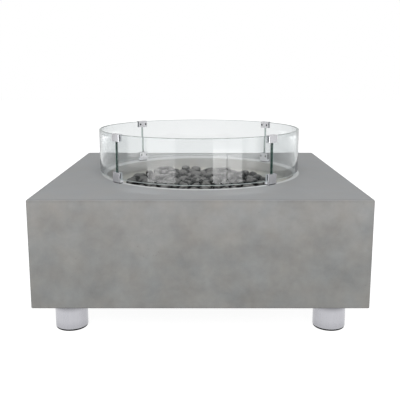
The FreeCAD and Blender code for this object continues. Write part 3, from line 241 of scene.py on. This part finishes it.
def castConcrete():
    f = Finish("castConcrete", concrete["side"])
    x, y, z = (f.axis(index) for index in range(3))
    level, rim = concrete["topLevel"], concrete["wellRadius"]
    onTop = z.between(level - concrete["topBlend"], level)
    inWell = 1 - ((x * x + y * y) ** 0.5).between(rim - concrete["wellBlend"], rim)
    # painted light and shade: the top, the sides and the foot are one concrete given three tones
    # for how light falls on each, the sides darkening towards the foot
    side = f.blend(z.between(concrete["fade"], level), concrete["foot"], concrete["side"])
    colour = f.blend(onTop, side, concrete["top"])
    # painted highlight: the top inside the guard, out to the strip it stands on, is painted pale
    across, along = concrete["ledgeRadius"]
    oval = ((x / across) ** 2 + ((y - concrete["ledgeShift"]) / along) ** 2) ** 0.5
    litStrip = 1 - oval.between(*concrete["ledgeBlend"])
    colour = f.blend(litStrip * onTop, colour, concrete["ledge"])
    # painted light: the wall of the well is painted far paler than the concrete outside it, to
    # lift the shade in the well
    colour = f.blend(inWell * z.above(concrete["wellFloor"]), colour, concrete["well"])
    # clouds of paste, from broad to fine, and a few pits
    clouds = f.cloud(concrete["clouds"], 8, 0.55, warp=0.3)
    patch = f.cloud(concrete["patches"], 6, 0.6, warp=0.2)
    grain = f.cloud(concrete["grain"], 3, 0.7)
    mottle = concrete["topMottle"] + (1 - onTop) * (concrete["mottle"] - concrete["topMottle"])
    shade = 1 + (clouds - 0.5) * mottle + (patch - 0.5) * mottle * concrete["patchShare"]
    shade = shade + (grain - 0.5) * concrete["speckle"]
    pits = 1 - f.cells(concrete["pitCells"]).between(*concrete["pitSize"])
    pits = pits * f.cloud(concrete["clouds"], 3).between(*concrete["pitted"])
    # painted shade: the rounded edges, at the top and along the foot, are darkened so that they
    # catch less light
    far, near = concrete["edgeWidth"]
    low, high = concrete["edgeDepth"]
    border = abs(x).larger(abs(y)).between(concrete["half"] - far, concrete["half"] - near)
    edge = border * z.between(level - low, level - high)
    below = (z - concrete["underside"]).between(*concrete["footDepth"])
    edge = edge + (1 - below) * concrete["footEdge"]
    shade = shade - pits * concrete["pits"] - edge * concrete["edge"]
    # and some of the clouds lean to brown, others to blue
    warm = f.cloud(concrete["warmClouds"], 6, 0.55, f.place(shift=(3, 1, 2))) - 0.5
    warm = warm * (1 - onTop * 0.5) * concrete["warmth"]
    colour = f.shaded(colour, shade + warm, shade, shade - warm)
    relief = f.bump(patch * 0.6 + grain * 0.25 - pits * 1.2, concrete["relief"], 0.6)
    rough = concrete["rough"] + (patch - 0.5) * concrete["roughPatches"]
    return f.end(f.surface(baseColor=colour, roughness=rough, normal=relief,
                           specularIorLevel=concrete["gloss"]))


brushed = {
    "streaks": 0.12,            # how far lines and wipes change the shade and the roughness
    "smudge": 0.06,
    "wipes": 9,
    "depth": 0.00004,
}


def brushing(f, scale, stretch):            # fine lines along the work, and broad wipes over it
    return f.cloud(scale, 3, 0.65, f.place(stretch)), f.cloud(brushed["wipes"], 4, 0.55)


def brushedSteel(name, colour, rough, scale, stretch):
    f = Finish(name, colour)
    lines, wipe = brushing(f, scale, stretch)
    change = (lines - 0.5) * brushed["streaks"] + (wipe - 0.5) * brushed["smudge"]
    return f.end(f.surface(baseColor=f.shaded(colour, 1 + change), metallic=1.0,
                           roughness=rough + change, normal=f.bump(lines, brushed["depth"], 0.5)))


legs = {
    "colour": tone(183, 183, 188),
    "lines": 90,
    "stretch": (1, 1, 0.04),
    "smudge": 0.08,
    "rough": 0.28,
    "stain": tone(112, 112, 116),
    "top": 0.087,
    "stained": 0.032,           # how far the painted shade under the table reaches down
    "foot": 0.006,
    "splashed": 0.03,           # how far a weaker darkening reaches up from the foot
    "splash": 0.22,
}


def brushedLeg():
    f = Finish("brushedLeg", legs["colour"])
    z = f.axis(2)
    lines, wipe = brushing(f, legs["lines"], legs["stretch"])
    change = (lines - 0.5) * brushed["streaks"]
    tint = f.shaded(legs["colour"], 1 + change + (wipe - 0.5) * legs["smudge"])
    # painted shade under the table, where the legs meet it, and a little darker towards the foot
    underTable = z.between(legs["top"] - legs["stained"], legs["top"]) ** 1.6
    splash = 1 - z.between(legs["foot"], legs["foot"] + legs["splashed"])
    tint = f.blend(underTable.larger(splash * legs["splash"]), tint, legs["stain"])
    return f.end(f.surface(baseColor=tint, metallic=1.0, roughness=legs["rough"] + change,
                           normal=f.bump(lines, brushed["depth"], 0.5)))


glass = {
    "tint": (0.70, 0.725, 0.73),
    "density": 98.0,
    "shade": (0.86, 0.88, 0.88),        # what is left of light that falls through the guard
    "smears": 0.01,
    "smearClouds": 7,
    "bend": 1.45,
    "axis": (-0.005, 0.0),      # where the guard stands, and how far it is turned
    "turn": 41.1,
    "radius": 0.3804,
    "top": 0.6195,
    "foot": 0.4635,
    "cutEnd": tone(12, 64, 54),
    "cutDepth": (0.0026, 0.0034),
    "cutWidth": 0.0014,         # the ends of the front panels look wider through the glass
    "cutRough": 0.18,
    "cutClear": (0.80, 0.88, 0.86),
    "frontCover": 0.9,          # how little of what is behind shows through ends and rims, less at the front, as painted shade for the dark table they reflect
    "rearCover": 0.5,
    "rimDepth": (0.0006, 0.0014),
    "rim": tone(136, 147, 144),
    "sideRim": tone(206, 214, 212),
    "sideRimFrom": (0.27, 0.37),
    "lowRim": tone(226, 232, 231),
}


def fromGuard(f):               # x, y and z seen from the guard's axis, and the way to a seam
    x, y = (f.axis(index) - glass["axis"][index] for index in (0, 1))
    turn = math.radians(glass["turn"])
    along = abs(x * math.cos(turn) + y * math.sin(turn))
    across = abs(y * math.cos(turn) - x * math.sin(turn))
    return x, y, f.axis(2), along.smaller(across)


def guardGlass():
    f = Finish("guardGlass", (0.85, 0.93, 0.9))
    pane = f.surface(baseColor=(1, 1, 1), ior=glass["bend"], transmissionWeight=1.0,
                     roughness=f.cloud(glass["smearClouds"], 4, 0.6) * glass["smears"])
    # painted shade and highlight: the cut ends are dark green, the glass's own green deepened as
    # painted shade; the rims have painted shade along the top and a painted highlight along the
    # foot, paler towards the sides
    x, y, z, fromSeam = fromGuard(f)
    inRear = y.above(0)
    wide = glass["cutWidth"] * (1 - inRear)
    atEnd = 1 - (fromSeam - wide).between(*glass["cutDepth"])
    near, far = glass["rimDepth"]
    atRim = z.between(glass["top"] - far, glass["top"] - near)
    atRim = atRim + 1 - z.between(glass["foot"] + near, glass["foot"] + far)
    rim = f.blend(abs(x).between(*glass["sideRimFrom"]), glass["rim"], glass["sideRim"])
    rim = f.blend(z.above((glass["top"] + glass["foot"]) / 2), glass["lowRim"], rim)
    cut = f.surface(baseColor=f.blend(atEnd, rim, glass["cutEnd"]),
                    roughness=glass["cutRough"], ior=glass["bend"])
    through = f.node("BsdfTransparent", {}, {"Color": glass["cutClear"]})
    cover = glass["frontCover"] - inRear * (glass["frontCover"] - glass["rearCover"])
    ground = f.node("MixShader", {}, {0: cover, 1: through, 2: cut})
    panel = f.node("MixShader", {}, {0: atEnd.larger(atRim), 1: pane, 2: ground})
    shadow = f.node("BsdfTransparent", {}, {"Color": glass["shade"]})
    inShadow = f.node("LightPath", out="Is Shadow Ray")
    both = f.node("MixShader", {}, {0: inShadow, 1: panel, 2: shadow})
    body = {"Color": glass["tint"], "Density": glass["density"]}
    return f.end(both, f.node("VolumeAbsorption", {}, body))


clips = {
    "colour": tone(226, 226, 230),
    "metal": 0.65,
    "innerMetal": 0.0,          # the inner plates are not polished
    "outerShade": 0.22,
    "lines": 500,
    "stretch": (1, 1, 0.2),
    "streaks": 0.10,
    "smudge": 0.06,
    "depth": 0.00003,
    "rough": 0.22,
    "screwSpread": 0.0135,      # where the set screws are, and the dark ring around each
    "screwLevels": (0.4751, 0.60765),
    "ring": (0.0036, 0.0042),
    "ringShade": 0.9,
    "fold": 3.5,                # degrees
}


def satinClip():
    f = Finish("satinClip", clips["colour"])
    x, y, z, fromSeam = fromGuard(f)
    outside = ((x * x + y * y) ** 0.5).above(glass["radius"])
    lines, wipe = brushing(f, clips["lines"], clips["stretch"])
    change = (lines - 0.5) * clips["streaks"]
    level = 1 + change + (wipe - 0.5) * clips["smudge"]
    # dark rings around the set screws of the inner plates
    aside = fromSeam - clips["screwSpread"]
    low, high = clips["screwLevels"]
    high = abs(z - low).smaller(abs(z - high))
    ring = 1 - ((aside * aside + high * high) ** 0.5).between(*clips["ring"])
    level = level * (1 - ring * (1 - outside) * clips["ringShade"])
    # painted shade: the outer plates are painted darker, against the lamps at the sides
    level = level * (1 - outside * clips["outerShade"])
    # each plate is pressed to a blunt angle over the seam
    folded = f.bump(fromSeam * -math.tan(math.radians(clips["fold"])), 1.0)
    metal = clips["innerMetal"] + outside * (clips["metal"] - clips["innerMetal"])
    return f.end(f.surface(baseColor=f.shaded(clips["colour"], level), metallic=metal,
                           roughness=clips["rough"] + change,
                           normal=f.bump(lines, clips["depth"], 0.5, folded)))


metals = {
    "speckle": 0.14,            # how far grain and wear change the shade and the roughness
    "wear": 0.2,
    "roughWear": 0.16,
    "wearClouds": 22,
    "depth": 0.0001,
}


def castMetal(name, colour, rough, metal=1.0, grain=180):
    f = Finish(name, colour)
    fine = f.cloud(grain, 4, 0.6)
    wear = f.cloud(metals["wearClouds"], 5, 0.6)
    level = 1 + (fine - 0.5) * metals["speckle"] + (wear - 0.5) * metals["wear"]
    return f.end(f.surface(baseColor=f.shaded(colour, level), metallic=metal,
                           roughness=rough + (wear - 0.5) * metals["roughWear"],
                           normal=f.bump(fine, metals["depth"], 0.6)))


plastics = {
    "dustClouds": 30,
    "dustSpread": 4,            # how patchy the dust is
    "dustRough": 0.15,
    "grain": 600,
}


def mouldedPlastic(name, colour, rough, depth=0.00006, dusty=0.12, gloss=0.5):
    f = Finish(name, colour)
    dust = f.cloud(plastics["dustClouds"], 4, 0.6)
    dusted = tuple(0.5 * part + 0.12 for part in colour)
    tint = f.blend((dust - 0.5) * dusty * plastics["dustSpread"] + dusty, colour, dusted)
    return f.end(f.surface(baseColor=tint, specularIorLevel=gloss,
                           roughness=rough + (dust - 0.5) * plastics["dustRough"],
                           normal=f.bump(f.cells(plastics["grain"]), depth, 0.5)))


# scale: lines to the metre, stretch: the way they run
sheets = {
    "sheetSteel": {"colour": tone(190, 189, 187), "rough": 0.34, "scale": 160,
                   "stretch": (0.06, 1, 1)},
    "traySteel": {"colour": tone(202, 202, 203), "rough": 0.3, "scale": 260,
                  "stretch": (0.04, 1, 1)},
}
castings = {
    "zincPlate": {"colour": tone(190, 191, 190), "rough": 0.34},
    "machinedBrass": {"colour": tone(204, 170, 96), "rough": 0.28, "grain": 320},
    "copperPipe": {"colour": tone(190, 118, 84), "rough": 0.32},
    "frameCoat": {"colour": tone(42, 42, 44), "rough": 0.55, "metal": 0.0, "grain": 420},
    "blackScrew": {"colour": tone(20, 20, 21), "rough": 0.6, "metal": 0.0},
}
mouldings = {
    "footRubber": {"colour": tone(9, 12, 13), "rough": 0.8, "dusty": 0.02, "gloss": 0.1},
    "padRubber": {"colour": tone(96, 98, 98), "rough": 0.6},
    "knobPlastic": {"colour": tone(30, 30, 31), "rough": 0.48},
    "modulePlastic": {"colour": tone(44, 44, 46), "rough": 0.55},
    "buttonPlastic": {"colour": tone(172, 34, 28), "rough": 0.3, "depth": 0.00002},
    "leadRubber": {"colour": tone(150, 44, 34), "rough": 0.6},
    "probeCeramic": {"colour": tone(232, 230, 222), "rough": 0.4},
}
# the pieces that each finish is on, by name, and then by how their names begin
worn = {
    "castConcrete": ("concrete_shell",),
    "sheetSteel": ("burner_pan", "burner_ring", "heat_shield", "ignition_bracket"),
    "traySteel": ("control_tray",),
    "zincPlate": ("frame_screws", "leg_bolts", "burner_nipple", "burner_locknut", "burner_hose",
                  "shield_spacers", "shield_screws", "tray_screws", "thermocouple",
                  "valve_nut", "valve_plunger", "valve_stem"),
    "machinedBrass": ("frame_inserts", "air_mixer", "gas_valve", "safety_magnet",
                      "inlet_fitting", "inlet_nut"),
    "copperPipe": ("inlet_pipe", "thermocouple_lead"),
    "frameCoat": ("base_frame", "lava_rocks"),
    "blackScrew": ("clip_screws",),
    "footRubber": ("clip_feet",),
    "padRubber": ("clip_pads",),
    "knobPlastic": ("control_knob",),
    "modulePlastic": ("ignition_module", "ignition_nut"),
    "buttonPlastic": ("igniter_button",),
    "leadRubber": ("ignition_lead",),
    "probeCeramic": ("spark_electrode",),
}
wornAlike = {
    "leg_front": "brushedLeg", "leg_rear": "brushedLeg", "foot_": "footRubber",
    "glass_": "guardGlass", "top_clip_": "satinClip", "bottom_clip_": "satinClip",
}


def dress():
    made = {"castConcrete": castConcrete(), "brushedLeg": brushedLeg(),
            "guardGlass": guardGlass(), "satinClip": satinClip()}
    for maker, table in ((brushedSteel, sheets), (castMetal, castings),
                         (mouldedPlastic, mouldings)):
        for name, values in table.items():
            made[name] = maker(name, **values)
    chosen = {name: finish for finish, names in worn.items() for name in names}
    for name, piece in nodes.items():
        for start, finish in wornAlike.items():
            if name.startswith(start):
                chosen[name] = finish
        piece.data.materials.clear()
        piece.data.materials.append(made[chosen[name]])
    print("finishes on", len(nodes), "pieces")


stones = {
    "soot": tone(8, 8, 10),
    "body": tone(46, 46, 46),
    "ash": tone(126, 125, 123),
    "stops": (0.05, 0.45, 0.85),        # where the painted crevice shade, the body and the painted lit colour are full
    "shares": (0.9, 0.5, 0.3),  # of painted light and shade, broad clouds and fine grain in that
    "clouds": 18,
    "grain": 240,
    "poreCells": 420,
    "poreSize": (0.12, 0.4),
    "poreShade": 0.4,
    "relief": 0.0011,
    "rough": 0.86,
    "gloss": 0.12,
    "seed": 11,
    "round": 0.8,               # 0 keeps the faceted lump, 1 makes a smooth egg
    "lumps": 0.13,
    "lumpScale": 1.1,
    "shrink": 0.98,
    "swell": 1.06,              # packed a little closer than the lumps they are made from
    "most": 1.04,               # and how far a bump may stand out
    "flatness": 0.78,
    "cuts": 4,
    "dusty": (0.0, -0.62, 0.78),        # the side that the painted light comes from
    "shadeSide": 0.6,           # how much painted light the other side keeps
    "near": 0.02,
    "gap": 0.017,               # how close to its neighbours a stone gets painted shade
    "leastBare": 0.1,
}


def lavaStone():
    f = Finish("lavaStone", (0.1, 0.1, 0.1))
    broad = f.cloud(stones["clouds"], 5, 0.6)
    fine = f.cloud(stones["grain"], 5, 0.7)
    hole = 1 - f.cells(stones["poreCells"]).between(*stones["poreSize"])
    # painted light on the sides that face up and forwards, and painted shade in the gaps between
    # the stones
    bare = f.node("Attribute", {"attribute_name": "bare"}, out="Fac")
    ofLight, ofBroad, ofFine = stones["shares"]
    amount = bare * ofLight + (broad - 0.5) * ofBroad + (fine - 0.5) * ofFine
    stops = list(zip(stones["stops"], (stones["soot"], stones["body"], stones["ash"])))
    colour = f.node("ValToRGB", {"stops": stops}, {"Fac": amount})
    colour = f.blend(hole * stones["poreShade"], colour, stones["soot"])
    relief = f.bump(fine * 0.5 - hole, stones["relief"], 0.8)
    return f.end(f.surface(baseColor=colour, roughness=stones["rough"],
                           specularIorLevel=stones["gloss"], normal=relief))


def looseParts(mesh):           # the corners of each separate lump, in the same order each time
    bm = bmesh.new()
    bm.from_mesh(mesh)
    bmesh.ops.remove_doubles(bm, verts=bm.verts, dist=1e-6)
    seen = set()
    parts = []
    for start in bm.verts:
        front = [] if start in seen else [start]
        seen.add(start)
        part = []
        while front:
            vert = front.pop()
            part.append(vert.co.copy())
            for edge in vert.link_edges:
                other = edge.other_vert(vert)
                if other not in seen:
                    seen.add(other)
                    front.append(other)
        if part:
            parts.append(part)
    bm.free()
    return parts


def wornLump(corners, middle, size, seed, others):      # others: middle and reach of each
    lump = bmesh.new()
    lightLayer = lump.verts.layers.float.new("bare")
    for corner in corners:
        lump.verts.new(corner - middle)
    bmesh.ops.convex_hull(lump, input=lump.verts)
    bmesh.ops.subdivide_edges(lump, edges=lump.edges, cuts=stones["cuts"], use_grid_fill=True)
    tall = Vector((1, 1, 1 / stones["flatness"]))
    flat = Vector((1, 1, stones["flatness"]))
    reach = sum(((corner - middle) * tall).length for corner in corners) / len(corners)
    egg = reach * stones["shrink"]
    most = reach * stones["most"] * stones["swell"]
    dusty = Vector(stones["dusty"])
    shade = stones["shadeSide"]
    for vert in lump.verts:
        spread = vert.co * tall
        away = spread.length
        wanted = (away + (egg - away) * stones["round"]) * stones["swell"]
        bumps = noise.fractal(spread / size * stones["lumpScale"] + seed, 0.7, 2.2, 4)
        wanted *= 1 + stones["lumps"] * bumps
        vert.co = spread * (min(wanted, most) / away) * flat + middle
        gap = min(((vert.co - other).length - radius for other, radius in others), default=1)
        # painted light and shade: lighter towards the lit side, darker close to the neighbours
        lit = shade + (1 - shade) * (vert.co - middle).normalized().dot(dusty)
        bare = stones["leastBare"] + gap / stones["gap"]
        vert[lightLayer] = lit * max(0, min(1, bare))
    for face in lump.faces:
        face.smooth = True
    return lump


def makeStones():
    heap = bmesh.new()
    heap.verts.layers.float.new("bare")
    chance = random.Random(stones["seed"])
    parts = looseParts(nodes["lava_rocks"].data)
    middles = [sum(corners, Vector()) / len(corners) for corners in parts]
    sizes = [sum((corner - middle).length for corner in corners) / len(corners)
             for corners, middle in zip(parts, middles)]
    around = [(middle, size * stones["swell"]) for middle, size in zip(middles, sizes)]
    for own, corners in enumerate(parts):
        middle, radius = around[own]
        others = [(place, reach) for index, (place, reach) in enumerate(around)
                  if index != own and (place - middle).length < radius + reach + stones["near"]]
        seed = Vector([chance.uniform(0, 50) for index in range(3)])
        lump = wornLump(corners, middle, sizes[own], seed, others)
        step = bpy.data.meshes.new("step")
        lump.to_mesh(step)
        lump.free()
        heap.from_mesh(step)
        bpy.data.meshes.remove(step)
    mesh = bpy.data.meshes.new("lavaStones")
    heap.to_mesh(mesh)
    heap.free()
    piece = bpy.data.objects.new("lavaStones", mesh)
    bpy.context.scene.collection.objects.link(piece)
    mesh.materials.append(lavaStone())
    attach(piece, "table")
    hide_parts("lava_rocks")
    print("stones:", len(mesh.polygons), "faces")


studio = {
    "sky": 0.55,                # strength of the world on matt surfaces
    "white": 1.0,               # and as it is seen, straight on and in mirrors
    "mirrored": 1.0,
    "darkBehind": 0.45,         # how much less mirrors show from behind the table
    "behind": (0.08, 0.34),
    "floorBehind": (0.5, 2.2),
    "floor": (0.3, 0.3, 0.3),
    "floorClouds": (0.29, 0.29, 0.29),
    "floorGlow": 0.93,
    "floorSize": 14,
    "aim": (0.0, 0.0, 0.3),     # where key and fill lamps point
    "keyPlace": (0.0, -5.0, 4.1),
    "keySize": 4.1,
    "keyLight": 190,
    "fillPlaces": ((4.4, 3.6, 0.7), (-4.4, 3.6, 0.7)),      # low, behind, out of the view
    "fillSize": 2.0,
    "fillLight": 110,
}
# a curved row of lamps before the guard that only shows in the glass
screen = {
    "away": 0.1,
    "spans": ((-41, 34, 8), (-70, -53, 2), (47, 68, 2)),    # degrees from the front, lamps
    "thrown": 2.18,             # the view is thrown back at this many times the angle
    "low": 0.452,
    "high": 0.64,
    "haze": (0.0, 1.7, 2.7),    # its glow below, in the middle and above
    "hazeLevels": ((0.503, 0.517), (0.538, 0.554)),
    "bend": 0.0528,             # towards the sides all of that lies lower
    "sides": 0.1,               # how much of the haze is left past this many degrees
    "sidesFrom": 45,
    "fade": 4,                  # degrees at either end of the front span
    "ridge": (0.546, 0.562, 2.0),       # a brighter line in it, behind which the table ends
    "ridgeEdge": (0.001, 0.003),
    "boxEdge": 0.3,             # how blurred the soft boxes are, in degrees and upwards
    "boxBlur": 0.011,
}
# the upright soft boxes on it: where each one begins and ends, in degrees from the front,
# its glow below, in the middle and above, and the two levels where that changes
softBoxes = {
    "leftBox": (-26.97, -11.65, 5.2, 2.1, 2.1, 0.508, 0.570),
    "rightBoxNear": (6.75, 14.0, 5.4, 5.4, 1.9, 0.511, 0.570),
    "rightBoxFar": (14.3, 22.34, 4.8, 4.8, 1.9, 0.511, 0.570),
    "sideBox": (24.6, 29.9, 1.0, 0.9, 1.5, 0.511, 0.555),
}


def areaLamp(name, place, aim, size, energy):
    data = bpy.data.lights.new(name, "AREA")
    data.shape = "RECTANGLE"
    data.size, data.size_y = size
    data.energy = energy
    lamp = bpy.data.objects.new(name, data)
    lamp.location = place
    lamp.rotation_euler = aim.to_track_quat("-Z", "Y").to_euler()
    lamp.visible_camera = False
    bpy.context.scene.collection.objects.link(lamp)
    return lamp


def screenEdge(around):
    on, away = math.radians(around), math.radians(around * screen["thrown"])
    return (glass["axis"][0] + glass["radius"] * math.sin(on) + screen["away"] * math.sin(away),
            -glass["radius"] * math.cos(on) - screen["away"] * math.cos(away))


def screenGlow(f, start, end):
    across, up = (f.axis(index, f.node("NewGeometry", out="Parametric")) for index in (0, 1))
    around = start + across * (end - start)
    level = screen["low"] + up * (screen["high"] - screen["low"])
    level = level + (1 - (around * math.radians(1)).sum("COSINE")) * screen["bend"]
    lowest, middle, highest = screen["haze"]
    first, second = screen["hazeLevels"]
    glow = lowest + level.between(*first) * (middle - lowest)
    glow = glow + level.between(*second) * (highest - middle)
    if abs(start + end) / 2 > screen["sidesFrom"]:
        return glow * screen["sides"]
    under, over, bright = screen["ridge"]
    inner, outer = screen["ridgeEdge"]
    ridge = level.between(under - outer, under + inner)
    glow = glow + ridge * (1 - level.between(over - inner, over + outer)) * bright
    left, right = screen["spans"][0][:2]
    fade = around.between(left, left + screen["fade"])
    glow = glow * (fade * (1 - around.between(right - screen["fade"], right)))
    edge, blur = screen["boxEdge"], screen["boxBlur"]
    for first, last, below, between, above, low, high in softBoxes.values():
        inside = around.between(first, first + edge) * (1 - around.between(last - edge, last))
        upward = level.between(low - blur, low + blur) * (between - below)
        upward = upward + level.between(high - blur, high + blur) * (above - between)
        glow = glow + inside * (below + upward)
    return glow


def screenLamp(name, start, end):
    left, right = screenEdge(start), screenEdge(end)
    width = math.dist(left, right)
    height = screen["high"] - screen["low"]
    middle = Vector(((left[0] + right[0]) / 2, (left[1] + right[1]) / 2,
                     (screen["low"] + screen["high"]) / 2))
    inward = Vector((left[1] - right[1], right[0] - left[0], 0))
    lamp = areaLamp(name, middle, inward, (width, height), math.pi * width * height)
    lamp.visible_diffuse = False
    lamp.visible_transmission = False
    f = Finish(name, owner=lamp.data)
    f.end(f.node("Emission", {}, {"Strength": screenGlow(f, start, end)}))


def seenWhite(f, glow, mirrored):           # what the camera, mirrors and clear glass look at
    seen = f.node("LightPath", out="Is Camera Ray")
    seen = seen.larger(f.node("LightPath", out="Is Transmission Ray"))
    return (seen * glow).larger(f.node("LightPath", out="Is Glossy Ray") * mirrored)


def lightStudio():
    world = bpy.data.worlds.new("studio")
    bpy.context.scene.world = world
    f = Finish("studio", owner=world)
    # in mirrors the room is a little darker behind the table than in front of it
    behind = f.axis(1, f.node("TexCoord", out="Generated")).between(*studio["behind"])
    mirrored = studio["mirrored"] - behind * studio["darkBehind"]
    strength = seenWhite(f, studio["white"], mirrored).larger(studio["sky"])
    f.end(f.node("Background", {}, {"Color": (1, 1, 1), "Strength": strength}))
    for first, last, count in screen["spans"]:
        step = (last - first) / count
        for part in range(count):
            screenLamp("screenLamp", first + part * step, first + (part + 1) * step)
    aim = Vector(studio["aim"])
    key = Vector(studio["keyPlace"])
    size = studio["keySize"]
    lamp = areaLamp("keyLight", key, aim - key, (size, size), studio["keyLight"])
    lamp.visible_glossy = False
    size = studio["fillSize"]
    for place in studio["fillPlaces"]:
        fill = Vector(place)
        lamp = areaLamp("fillLight", fill, aim - fill, (size, size), studio["fillLight"])
        lamp.visible_glossy = lamp.visible_transmission = False

    bm = bmesh.new()
    bmesh.ops.create_grid(bm, x_segments=2, y_segments=2, size=studio["floorSize"])
    mesh = bpy.data.meshes.new("studioFloor")
    bm.to_mesh(mesh)
    bm.free()
    ground = bpy.data.objects.new("studioFloor", mesh)
    bpy.context.scene.collection.objects.link(ground)
    g = Finish("studioFloor", studio["floor"])
    dark = g.axis(1).between(*studio["floorBehind"]) * studio["darkBehind"]
    strength = seenWhite(g, studio["floorGlow"], studio["floorGlow"] - dark)
    glow = g.node("Emission", {}, {"Strength": strength})
    colour = g.blend(g.cloud(3, 3), studio["floor"], studio["floorClouds"])
    matt = g.node("BsdfDiffuse", {}, {"Color": colour})
    mesh.materials.append(g.end(g.node("AddShader", {}, {0: matt, 1: glow})))
    print("studio lit")


placeCamera()
lightStudio()
dress()
makeStones()

bpy.context.scene.view_settings.view_transform = "Standard"
